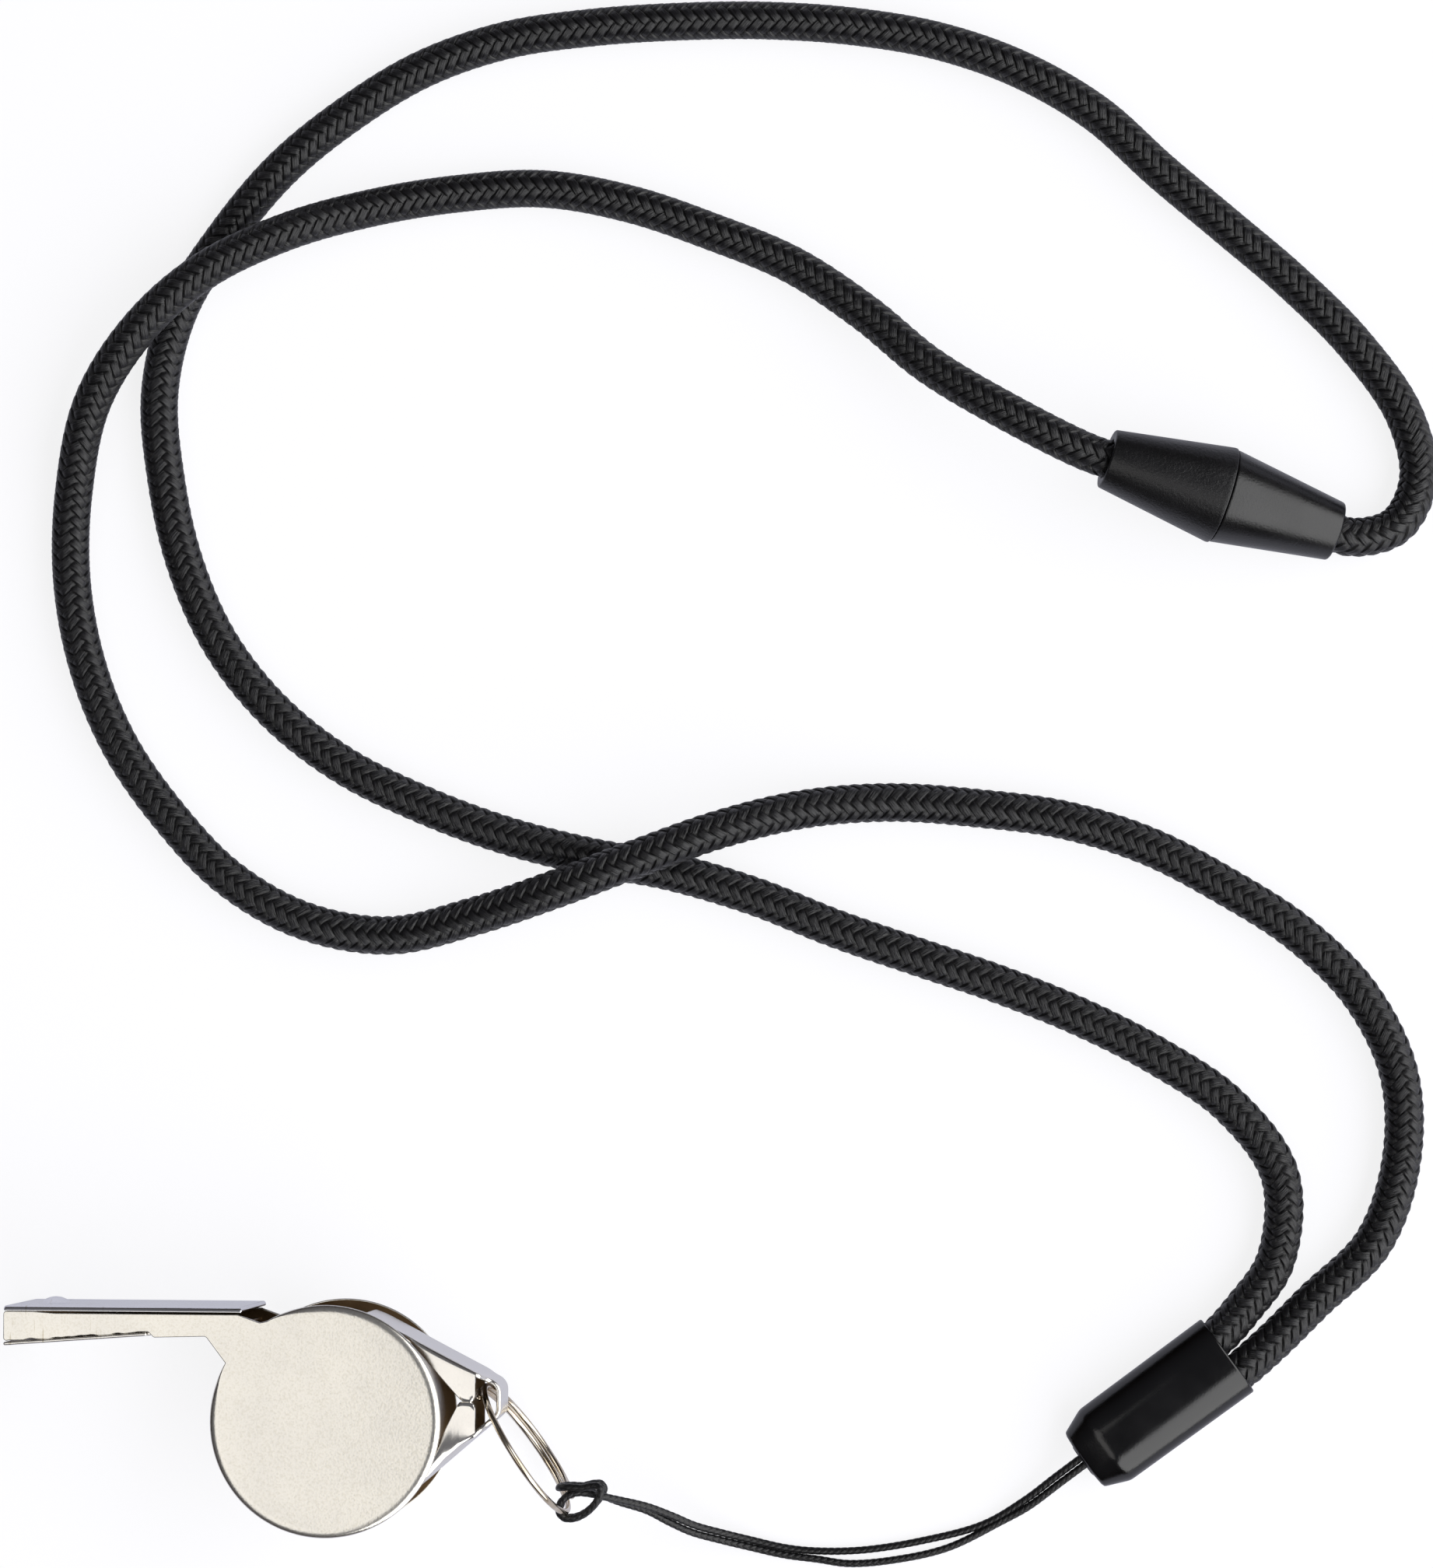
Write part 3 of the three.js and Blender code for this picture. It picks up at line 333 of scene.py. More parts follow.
def braid(path, diameter, strands, relief, first_row=0, reference=(0, 0, 1)):
    """Round two-over-two braid on a lattice of rhombs whose lines follow both hands of strands. Each strand is four
    cells wide, the outer two narrow, so the grooves stay thin. With R and L the places counted across right-hand and
    left-hand strands, the angle is (R + L) / 2 and the length (R - L) / 2 of a strand's share of the turn and lay.
    A right-hand strand lies on top where (r + l) mod 4 is 0 or 1, so columns of one hand run along the cord. The
    height is a flat-topped crown across the strand times a power of a half sine along its float. The uv holds the
    place across the float and along it."""
    columns, rows = strands * 4, len(path)
    across_cell = array([0, 0.15, 0.5, 0.85, 1.0])
    i = first_row + np.arange(rows)[:, None]
    right_line = np.arange(columns) + (i + 1) // 2
    left_line = right_line - i

    def warped(line):
        """Place of a lattice line, counted in strands."""
        return line // 4 + across_cell[line % 4]

    def float_at(right, left, r, l):
        """Place across and along the float on top where strands r and l cross, and the numbers of both strands."""
        on_right = (r + l) % 4 < 2
        start = r + l - (r + l) % 4 + np.where(on_right, -r, 2 - l)
        across = across_cell[np.where(on_right, right - 4 * r, left - 4 * l)]
        along = (warped(np.where(on_right, left, right)) - start) / 2
        return across, along, np.where(on_right, r + 40, l), np.where(on_right, l, r)

    across, along, _, _ = float_at(right_line, left_line, right_line // 4, left_line // 4)
    height = relief * (1 - (2 * across - 1) ** 4) * clip(sin(pi * along), 0, 1) ** 0.4
    place = clip((warped(right_line) - warped(left_line)) * 4 - first_row, 0, rows - 1.001)
    low, share = place.astype(int), (place % 1)[..., None]
    middle, side, up = (v[low] * (1 - share) + v[low + 1] * share for v in (path, *tube_frame(path, reference)))
    angle = (warped(right_line) + warped(left_line)) * pi / strands
    ring = side * cos(angle)[..., None] + up * sin(angle)[..., None]
    points = middle + ring * (diameter / 2 - relief + height)[..., None]

    index = np.arange(rows * columns).reshape(rows, columns)
    odd = i[:-2] % 2 == 1
    right_corner = np.where(odd, np.roll(index[1:-1], -1, 1), index[1:-1])
    left_corner = np.where(odd, index[1:-1], np.roll(index[1:-1], 1, 1))
    quads = stack([index[:-2], right_corner, index[2:], left_corner], -1).reshape(-1, 4)
    base_right, base_left = right_line[:-2], left_line[:-2]
    corners = []
    for step_right, step_left in ((0, 0), (1, 0), (1, -1), (0, -1)):
        across, along, own, other = float_at(
            base_right + step_right, base_left + step_left, base_right // 4, (base_left - 1) // 4)
        corners.append(stack([across + 2 * own, along + 3 * other], -1))

    def zigzag(a, b):
        """End polygon through two neighbouring rows."""
        second = np.roll(index[b], -1) if i[a, 0] % 2 else index[b]
        return stack([index[a], second], -1).ravel().tolist()

    ends = [zigzag(0, 1)[::-1], zigzag(rows - 2, rows - 1)]
    return points.reshape(-1, 3), quads, ends, stack(corners, 2).reshape(-1, 4, 2), (0, 0)


def turned(profile):
    """Closed profile of (radius, distance) points turned about the breakaway axis."""
    side = unit(np.cross(break_axis, (0, 0, 1)))
    up = np.cross(side, break_axis)
    angle = linspace(0, TURN, TURNED_SIDES, endpoint=False)
    ring = side * cos(angle)[:, None] + up * sin(angle)[:, None]
    return grid(on_break(profile[:, 1, None, None]) + profile[:, 0, None, None] * ring, wrap_rows=True)


def oval_rings(stations):
    """Closed surface through flat ovals along the clamp: each station is (depth, width, height) of two half ellipses,
    1.2 times as long as they are high, joined by straight sides, set square to the clamp's axis."""
    half_turn = radians(linspace(-90, 90, OVAL_POINTS))
    depth, width, height = (np.asarray(v, float)[:, None] for v in zip(*stations))
    radius = np.minimum(1.2 * height, width) / 2
    bulge = width / 2 - radius + radius * cos(half_turn)
    rise = height / 2 * sin(half_turn)
    x, y = join([bulge, -bulge], 1), join([rise, -rise], 1)
    return grid(in_clamp(depth[..., None], x[..., None]) + y[..., None] * array((0, 0, 1.0)), wrap_rows=True)


# Finishes. Pattern sizes are in metres.

def linear(code):
    """Linear colour of an sRGB hex value."""
    c = array([int(code[k:k + 2], 16) for k in (1, 3, 5)]) / 255
    return (*np.where(c <= 0.04045, c / 12.92, ((c + 0.055) / 1.055) ** 2.4).tolist(), 1.0)


def feed(tree, node, inputs):
    """Sets a node's inputs: each is a value or the output that feeds it."""
    for key, value in inputs.items():
        if isinstance(value, bpy.types.NodeSocket):
            tree.links.new(value, node.inputs[key])
        else:
            node.inputs[key].default_value = value


def put(tree, kind, inputs, **settings):
    """Adds a shader node with its inputs and settings, and returns its outputs. The setting stops is a list of (place,
    hex colour) along a colour ramp."""
    made = tree.nodes.new("ShaderNode" + kind)
    for key, value in settings.items():
        if key != "stops":
            setattr(made, key, value)
            continue
        elements = made.color_ramp.elements
        for k, (place, code) in enumerate(value):
            element = elements[k] if k < len(elements) else elements.new(place)
            element.position, element.color = place, linear(code)
    feed(tree, made, inputs)
    return made.outputs


def new_finish(name, inputs):
    """Material with one principled shader; inputs that are the same all over are set here."""
    material = bpy.data.materials.new(name)
    material.use_nodes = True
    tree = material.node_tree
    shader = tree.nodes["Principled BSDF"]
    feed(tree, shader, inputs)
    return material, tree, shader


def clouded(tree, size, detail, stops, roughness=0.5):
    """Noise at the object's own place with blots of a size in metres, and its colour along a ramp of stops."""
    place = put(tree, "TexCoord", {})["Object"]
    cloud = put(tree, "TexNoise", {
        "Vector": place, "Scale": 1 / size, "Detail": detail, "Roughness": roughness})["Fac"]
    return place, cloud, put(tree, "ValToRGB", {"Fac": cloud}, stops=stops)["Color"]


TINTED = {"data_type": "RGBA", "blend_type": "MIX"}
SHADED = {"data_type": "RGBA", "blend_type": "MULTIPLY"}
TIMES, TIMES_PLUS = {"operation": "MULTIPLY"}, {"operation": "MULTIPLY_ADD"}


def patchy(roughness):
    """Range of a roughness that follows the cloud of a finish."""
    return {"From Min": 0.3, "From Max": 0.7, "To Min": roughness - 0.04, "To Max": roughness + 0.05}


def nickel(name, tint, peel, mottle, roughness):
    """Bright nickel plate on stamped brass sheet: warm white metal, with the sheet's orange peel, its low spots
    darkened as painted shade, a cloudy change of tint from handling, hairlines across the mouthpiece where it meets the
    teeth, and a brown on the inside faces that is partly bare tarnished brass and partly painted shade of the hollow
    inside."""
    material, tree, shader = new_finish(name, {"Metallic": 1.0})
    cloud_size, peel_size, hair_width, hair_length = 0.009, 0.00024, 0.0003, 0.005
    teeth_from, teeth_to = -0.019, -0.024
    place, cloud, tone = clouded(tree, cloud_size, 3.0, [(0.3, tint[0]), (0.65, tint[1])], 0.6)
    grain = put(tree, "TexNoise", {
        "Vector": place, "Scale": 1 / peel_size, "Detail": 2.0, "Roughness": 0.6})["Fac"]
    # Painted shade: the colour darkens towards the mottle tone where the peel noise is low. These are the same low
    # spots that the bump sinks, and the darkening stands in for shade and uneven reflection in them.
    peel_shade = put(tree, "ValToRGB", {"Fac": grain}, stops=[(0.34, mottle), (0.52, "#ffffff")])["Color"]
    worn = put(tree, "Mix", {0: 1.0, 6: tone, 7: peel_shade}, **SHADED)[2]
    rub = put(tree, "Mapping", {
        "Vector": place, "Scale": (1 / hair_width, 1 / hair_length, 1 / hair_length)})["Vector"]
    hair = put(tree, "TexNoise", {"Vector": rub, "Scale": 1.0, "Detail": 1.0})["Fac"]
    line = put(tree, "MapRange", {"Value": hair, "From Min": 0.67, "From Max": 0.73})["Result"]
    reach = put(tree, "SeparateXYZ", {"Vector": place})["X"]
    near = put(tree, "MapRange", {"Value": reach, "From Min": teeth_from, "From Max": teeth_to})["Result"]
    bitten = put(tree, "Math", {0: line, 1: near}, **TIMES)["Value"]
    marks = put(tree, "Mix", {0: bitten, 6: worn, 7: linear("#e3dfd5")}, **SHADED)[2]
    # Painted shade: the inside faces are mixed to a tarnished brown, partly the bare brass and partly standing in for
    # the shade inside the hollow whistle and lug.
    uv = put(tree, "UVMap", {}, uv_map="strands")["UV"]
    inside = put(tree, "SeparateXYZ", {"Vector": uv})["X"]
    tarnish_and_shade = put(tree, "ValToRGB", {"Fac": cloud}, stops=[(0.3, "#4a3826"), (0.7, "#7c6549")])["Color"]
    faces = put(tree, "Mix", {0: inside, 6: marks, 7: tarnish_and_shade}, **TINTED)[2]
    rough = put(tree, "MapRange", {"Value": cloud, **patchy(roughness)})["Result"]
    dull = put(tree, "Math", {0: inside, 1: 0.25, 2: rough}, **TIMES_PLUS)["Value"]
    peeled = put(tree, "Bump", {"Strength": peel, "Distance": 0.00006, "Height": grain})["Normal"]
    scored = put(tree, "Bump", {
        "Strength": 0.06, "Distance": 0.00003, "Height": bitten, "Normal": peeled}, invert=True)["Normal"]
    feed(tree, shader, {"Base Color": faces, "Roughness": dull, "Normal": scored})
    return material


def spring_wire():
    """Nickel plated spring wire, drawn through a die: bright and hard, with a browner tint and worn patches."""
    material, tree, shader = new_finish("plated_spring_wire", {"Metallic": 1.0})
    patch_size = 0.002
    _, cloud, tone = clouded(tree, patch_size, 3.0, [(0.35, "#c2b39b"), (0.65, "#eae2d4")])
    rough = put(tree, "MapRange", {"Value": cloud, "To Min": 0.05, "To Max": 0.2})["Result"]
    feed(tree, shader, {"Base Color": tone, "Roughness": rough})
    return material


def filament_braid(name, dark, pale, groove_shade, filaments, bump, roughness):
    """Black polyester filament yarn, braided: each strand is a flat ribbon of parallel filaments with a dull sheen,
    with painted shade darkening it towards its sides and ends, where it tucks under the next one. The lines run along
    the strand, by the uv; they are drawn about twice as coarse as real filaments to show."""
    material, tree, shader = new_finish(name, {
        "Specular IOR Level": 0.5, "Sheen Weight": 0.08, "Sheen Roughness": 0.4, "Roughness": roughness})
    uv = put(tree, "UVMap", {}, uv_map="strands")["UV"]
    lines = put(tree, "Mapping", {"Vector": uv, "Scale": (filaments, 0.7, 1.0)})["Vector"]
    thread = put(tree, "TexNoise", {
        "Vector": lines, "Scale": 1.0, "Detail": 2.0, "Roughness": 0.65}, noise_dimensions="2D")["Fac"]
    tone = put(tree, "ValToRGB", {"Fac": thread}, stops=[(0.3, dark), (0.7, pale)])["Color"]
    split = put(tree, "SeparateXYZ", {"Vector": uv})
    # Painted shade: the colour runs to near black towards each float's sides and ends, where the strands pass under one
    # another.
    edges = []
    for axis, start in (("X", 0.62), ("Y", 0.7)):
        part = put(tree, "Math", {0: split[axis]}, operation="FRACT")["Value"]
        middle = put(tree, "Math", {0: part, 1: 2.0, 2: -1.0}, **TIMES_PLUS)["Value"]
        away = put(tree, "Math", {0: middle}, operation="ABSOLUTE")["Value"]
        edges.append(put(tree, "MapRange", {
            "Value": away, "From Min": start, "From Max": 1.0, "To Min": 1.0, "To Max": groove_shade})["Result"])
    tuck_shade = put(tree, "Math", {0: edges[0], 1: edges[1]}, **TIMES)["Value"]
    shaded = put(tree, "Mix", {0: tuck_shade, 6: linear("#030304"), 7: tone}, **TINTED)[2]
    ridged = put(tree, "Bump", {"Strength": bump, "Distance": 0.00008, "Height": thread})["Normal"]
    feed(tree, shader, {"Base Color": shaded, "Normal": ridged})
    return material


def moulded_plastic(name, code, pale, roughness, grain_size, grain):
    """Black injection moulded ABS: a low, even gloss, with the mould's fine grain and a few rubbed patches."""
    material, tree, shader = new_finish(name, {"Specular IOR Level": 0.62})
    patch_size = 0.004
    place, wide, tone = clouded(tree, patch_size, 3.0, [(0.35, code), (0.75, pale)])
    fine = put(tree, "TexNoise", {
        "Vector": place, "Scale": 1 / grain_size, "Detail": 3.0, "Roughness": 0.6})["Fac"]
    rough = put(tree, "MapRange", {"Value": wide, **patchy(roughness)})["Result"]
    grained = put(tree, "Bump", {"Strength": grain, "Distance": 0.00005, "Height": fine})["Normal"]
    feed(tree, shader, {"Base Color": tone, "Roughness": rough, "Normal": grained})
    return material


def cork():
    """Natural cork, ground to a ball: warm tan with darker pores and no gloss."""
    material, tree, shader = new_finish("ground_cork", {"Roughness": 0.9, "Specular IOR Level": 0.2})
    cell_size, cloud_size = 0.0007, 0.0015
    place, _, tone = clouded(tree, cloud_size, 4.0, [(0.3, "#6b4526"), (0.45, "#b58655"), (0.75, "#cfa676")])
    cells = put(tree, "TexVoronoi", {"Vector": place, "Scale": 1 / cell_size})["Distance"]
    pitted = put(tree, "Bump", {"Strength": 0.5, "Distance": 0.0002, "Height": cells})["Normal"]
    feed(tree, shader, {"Base Color": tone, "Normal": pitted})
    return material


def crimped_tube():
    """Plain aluminium tube crimped on the cord end: soft, cloudy grey."""
    material, tree, shader = new_finish("crimped_aluminium", {"Metallic": 1.0, "Roughness": 0.4})
    cloud_size = 0.0008
    _, _, tone = clouded(tree, cloud_size, 2.0, [(0.3, "#8e8f91"), (0.7, "#b9babc")])
    feed(tree, shader, {"Base Color": tone})
    return material


NICKEL_CHEEK = nickel("nickel_plate_cheek", ("#efece3", "#f4f1e9"), peel=0.17, mottle="#f7f6f3", roughness=0.22)
NICKEL_SIDE = nickel("nickel_plate_side", ("#f6f6fa", "#fafafc"), peel=0.04, mottle="#fcfcfc", roughness=0.14)
NICKEL_LUG = nickel("nickel_plate_lug", ("#f4f1eb", "#f9f6f0"), peel=0.03, mottle="#fcfcfc", roughness=0.16)
WIRE = spring_wire()
BRAID = filament_braid("polyester_braid", "#050506", "#1c1c20", groove_shade=0.03, filaments=8.0, bump=0.9, roughness=0.33)
WAXED = filament_braid("waxed_cord", "#060607", "#17171a", groove_shade=0.15, filaments=4.0, bump=0.5, roughness=0.34)
ABS_SATIN = moulded_plastic("abs_satin", "#030304", "#070709", roughness=0.17, grain_size=0.00018, grain=0.22)
ABS_WORN = moulded_plastic("abs_satin_worn", "#060608", "#0a0a0c", roughness=0.28, grain_size=0.00022, grain=0.4)
ABS_GRAINED = moulded_plastic("abs_grained", "#08080a", "#0d0d10", roughness=0.34, grain_size=0.00032, grain=0.9)
CORK = cork()
ALUMINIUM = crimped_tube()

# Camera, from the perspective fit of the photograph

camera = add_object("camera", bpy.data.cameras.new("camera"))
camera.data.sensor_fit, camera.data.sensor_height, camera.data.lens = "VERTICAL", 36.0, 108.295
camera.data.clip_start, camera.data.clip_end = 0.02, 20.0
eye, target = Vector((0.061649, 0.030786, 0.470)), Vector((0.036772, 0.062251, 0.0))
forward = (target - eye).normalized()
right_hand = forward.cross(Vector((0, 1, 0))).normalized()
upward = right_hand.cross(forward)
turn = Matrix((right_hand, upward, -forward)).transposed().to_4x4()
camera.matrix_world = Matrix.Translation(eye) @ turn
bpy.context.scene.camera = camera

# Neck cords

clamp_axis = array([*polar(1, CLAMP_HEADING), 0])
clamp_side = array([*polar(1, CLAMP_HEADING + 90), 0])


def in_clamp(depth, aside):
    """Point in the clamp: depth from its mouth towards the cap, and sideways."""
    return array(CLAMP_MOUTH) - clamp_axis * depth + clamp_side * aside


tilt = radians(BREAK_TILT)
break_axis = array([*(cos(tilt) * polar(1, BREAK_HEADING)), -sin(tilt)])


def on_break(distance):
    """Point on the breakaway axis, measured from the seam towards the plug's cord."""
    return array(BREAK_SEAM) + break_axis * distance


def from_clamp(aside, route):
    """Points of a neck cord: its stretch inside the clamp, then its listed route."""
    return [in_clamp(CORD_DEPTH * u, aside) for u in (1, 0.5, 0)] + [(*p, CORD_REST)[:3] for p in route]


# A braid's lay is the length in which a strand goes once round; its lattice has ROWS rows per strand and lay.
ROWS, NECK_STRANDS, NECK_LAY, TETHER_STRANDS, TETHER_LAY = 8, 8, 9.6, 4, 2.6
NECK_ROW, TETHER_ROW = NECK_LAY / (ROWS * NECK_STRANDS), TETHER_LAY / (ROWS * TETHER_STRANDS)
NECK_BRAID = dict(diameter=CORD_DIAMETER + 0.22, strands=NECK_STRANDS, relief=0.23)
BLEND_START_ROW, BLEND_END_GAP, HITCH_TURN_ROWS, KNOT_SCALE, KNOT_STRAND = 8, 1.5, 14, 0.31, 0.32
left_points = from_clamp(-CORD_SPACING / 2, LEFT_ROUTE)
release_end = [on_break(-SOCKET_LENGTH - CORD_DIAMETER / 2), on_break(CORD_BORE_DEPTH - SOCKET_LENGTH - CORD_END_GAP)]
whole, marks = curve_through(left_points + RELEASE_ROUTE + release_end, NECK_ROW)
split = int(round(marks[len(left_points) - 1] / NECK_ROW))
left_path, release_path = whole[:split + 2], whole[split:]
right_end = [on_break(PLUG_LENGTH + CORD_DIAMETER / 2), on_break(PLUG_LENGTH - CORD_BORE_DEPTH + CORD_END_GAP)]
right_path, _ = curve_through(from_clamp(CORD_SPACING / 2, RIGHT_ROUTE) + right_end, NECK_ROW)

left_cord, right_cord, release_cord = (
    piece(name, [braid(path, first_row=row, **NECK_BRAID)], BRAID, body, [node], crease=38)
    for name, node, path, row, body in (
        ("neck_cord_left_braid", "neck_cord_left", left_path, 0, "lanyard"),
        ("neck_cord_right_braid", "neck_cord_right", right_path, 0, "lanyard"),
        ("neck_cord_release_braid", "neck_cord_release", release_path, split, None)))
tuple(on_break(-SOCKET_LENGTH - BLEND_END_GAP) * MM)
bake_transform(release_cord)

# Tether, doubled and cow hitched on the ring


def tether_end(sign):
    """Strand inside the clamp's cap."""
    return [in_clamp(CLAMP_LENGTH - CAP_LENGTH / 2, sign * STRAND_OFFSET),
            in_clamp(CLAMP_LENGTH - TETHER_DEPTH, sign * STRAND_OFFSET)]


hitch_lower = [(x, y, THICKNESS - z) for x, y, z in HITCH_HALF[-2::-1]]
tether_points = tether_end(1)[::-1] + TETHER_UPPER[::-1] + HITCH_HALF + hitch_lower + TETHER_LOWER + tether_end(-1)
tether_path, marks = curve_through(tether_points, TETHER_ROW)
bight = marks[2 + len(TETHER_UPPER) + len(HITCH_HALF) - 1] / TETHER_ROW
roll = pi * ease(np.arange(len(tether_path)), bight - HITCH_TURN_ROWS, bight + HITCH_TURN_ROWS)[:, None]
over = cos(roll) * (0, 0, 1) - sin(roll) * (1, 0, 0)
waxed = braid(tether_path, TETHER_DIAMETER, strands=TETHER_STRANDS, relief=0.05, reference=over)
tether = piece("tether_waxed_cord", [waxed], WAXED, "lanyard", ["tether_cord"], crease=45)
t = linspace(0, TURN, 181)
trefoil = stack([sin(t) + 2 * sin(2 * t), cos(t) - 2 * cos(2 * t), -1.6 * sin(3 * t)], -1)
knot_path = in_clamp(CLAMP_LENGTH - TETHER_DEPTH - CORD_END_GAP - KNOT_RADIUS, 0) + trefoil * KNOT_SCALE
knot = piece("tether_overhand_knot", [round_tube(knot_path, KNOT_STRAND, (0.03, 0.02, 1.0), 14)], WAXED, "lanyard",
             ["tether_knot"])

# Clamp: moulded sleeve, a little narrower towards the tapered end, with a domed cap round the tether hole

MOUTH_EDGE, MOUTH_FALL, NARROWING, CAP_FIT, BORE_CHAMFER = 0.22, 0.4, 0.2, 0.3, 0.25
bore = (CLAMP_WIDTH - 2 * CLAMP_WALL, CLAMP_HEIGHT - 2 * CLAMP_WALL)
cap_bore = (CAP_SIZE[0] + CAP_FIT, CAP_SIZE[1] + CAP_FIT)
shoulder = CLAMP_LENGTH - TAPER_LENGTH
quarter = radians(linspace(90, 0, END_POINTS))
mouth_edge = [(MOUTH_EDGE * (1 - sin(b)), CLAMP_WIDTH - NARROWING - MOUTH_FALL * (1 - cos(b)),
               CLAMP_HEIGHT - MOUTH_FALL * (1 - cos(b))) for b in quarter]
taper = [(shoulder + TAPER_LENGTH * u, CLAMP_WIDTH - 2 * NARROWING - 2 * (SIDE_TAPER - NARROWING) * v,
          CLAMP_HEIGHT - 2 * FACE_TAPER * v)
         for u, v in ((-0.2, 0.0), (-0.06, 0.012), (0.06, 0.07), (0.16, 0.16), (0.5, 0.5), (0.94, 0.94), (0.985, 1.0))]
end_width, end_height = taper[-1][1:]
sleeve_stations = mouth_edge + taper + [(CLAMP_LENGTH + past, *size) for past, size in (
    (0.04, (end_width - 0.12, end_height - 0.1)), (0.16, (end_width - 0.7, end_height - 0.35)),
    (0.24, (cap_bore[0] + 0.1, cap_bore[1] + 0.06)), (0.1, cap_bore), (-CLAMP_END_WALL, cap_bore),
    (-CLAMP_END_WALL, bore))] + [(0.2, *bore), (0.0, bore[0] + BORE_CHAMFER, bore[1] + BORE_CHAMFER)]
cap_stations = [(CLAMP_LENGTH + past, *size) for past, size in (
    (-CAP_LENGTH, CAP_SIZE), (0.1, CAP_SIZE), (0.26, (3.5, 2.3)), (0.34, (3.2, 1.95)), (0.36, (2.9, 1.6)),
    (0.28, TETHER_HOLE), (-CAP_LENGTH, TETHER_HOLE))]
clamp, cap = (
    piece(name, [oval_rings(stations)], ABS_SATIN, "lanyard", [node], crease=60)
    for name, node, stations in (("clamp_sleeve_moulding", "clamp_sleeve", sleeve_stations),
                                 ("clamp_cap_moulding", "clamp_end_cap", cap_stations)))

# Breakaway halves

AXIS_HOLE, BEAD_NOSE, BEAD_FLAT, BEAD_LENGTH = 0.02, 1.2, 0.5, 0.9
socket_shoulder, plug_shoulder = CORD_BORE_DEPTH - SOCKET_LENGTH, PLUG_LENGTH - CORD_BORE_DEPTH
throat, bead_start = BEAD_RADIUS + STEM_FIT, BEAD_NOSE - STEM_LENGTH
socket_profile = filleted([
    (CORD_BORE, -SOCKET_LENGTH), (BREAK_END_RADIUS, -SOCKET_LENGTH), (SOCKET_RIM_RADIUS, -RIM_EDGE),
    (SOCKET_RIM_RADIUS, 0), (throat, 0), (throat, -STEM_LENGTH), (FERRULE_BORE, socket_shoulder),
    (CORD_BORE, socket_shoulder)], [0.15, 0.22, 0.15, 0.1, 0.15, 0.1, 0.1, 0.1], closed=True)
socket = piece("breakaway_socket_moulding", [turned(socket_profile)], ABS_GRAINED, "socket",
               ["breakaway_socket"], crease=60)
plug_profile = filleted([
    (AXIS_HOLE, -STEM_LENGTH), (STEM_RADIUS - 0.3, -STEM_LENGTH), (BEAD_RADIUS, bead_start),
    (BEAD_RADIUS, bead_start + BEAD_FLAT), (STEM_RADIUS, bead_start + BEAD_LENGTH), (STEM_RADIUS, SEAM_GAP),
    (PLUG_RIM_RADIUS, SEAM_GAP), (PLUG_RIM_RADIUS, RIM_EDGE), (BREAK_END_RADIUS, PLUG_LENGTH),
    (CORD_BORE, PLUG_LENGTH), (CORD_BORE, plug_shoulder), (FERRULE_BORE, plug_shoulder), (FERRULE_BORE, PLUG_FLOOR),
    (AXIS_HOLE, PLUG_FLOOR)],
    [0, 0.25, 0.2, 0.2, 0.2, 0.1, 0.1, 0.1, 0.35, 0.15, 0.1, 0.1, 0.1, 0], closed=True)
plug = piece("breakaway_plug_moulding", [turned(plug_profile)], ABS_WORN, "lanyard",
             ["breakaway_plug"], crease=60)
for node in ("socket_cord_ferrule", "plug_cord_ferrule"):
    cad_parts[node].data.materials.clear()
    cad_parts[node].data.materials.append(ALUMINIUM)

tuple(in_clamp(0, -CORD_SPACING / 2) * MM)
tuple(in_clamp(0, CORD_SPACING / 2) * MM)
tuple(in_clamp(CLAMP_LENGTH, STRAND_OFFSET) * MM)

# Split ring: one and a half turns of wire with rounded ends

RING_PITCH, RING_ROWS, END_ROWS = 0.66, 420, 2
ring_heading, ring_normal = (array([*polar(1, RING_HEADING + turn), 0]) for turn in (0, 90))


def ring_point(degrees):
    """Point on the ring wire: 0 degrees in the lug slot, 180 on the far side. The turns lie side by side across
    the ring's plane and cross over between 190 and 350 degrees."""
    d = radians(degrees)[..., None]
    lean = radians(RING_LEAN)
    upright = array([0, 0, 1.0]) * cos(lean) + np.cross(ring_heading, (0, 0, 1)) * sin(lean)
    layer = (ease(degrees, 190, 350) - 0.5)[..., None]
    return (array(RING_SLOT) + ring_heading * RING_RADIUS * (1 - cos(d)) - upright * RING_RADIUS * sin(d)
            + ring_normal * layer * RING_PITCH)


wire_path = ring_point(linspace(RING_START, RING_START + RING_SWEEP, RING_ROWS))
from_end = np.minimum(np.arange(RING_ROWS), np.arange(RING_ROWS)[::-1])
end_share = np.minimum((from_end + 0.05) / END_ROWS, 1)
wire_radius = RING_WIRE / 2 * np.where(from_end < END_ROWS, np.sqrt(1 - (1 - end_share) ** 2), 1)
piece("split_ring_wire", [round_tube(wire_path, wire_radius, ring_normal, 24)], WIRE, "ring", ["split_ring"],
      crease=40)

# Side plates: cheek, mouthpiece side and window notch in one blank. The edge along the windway floor is uneven with
# solder, and a dark seam stays open under the roof, closed near the mouth.

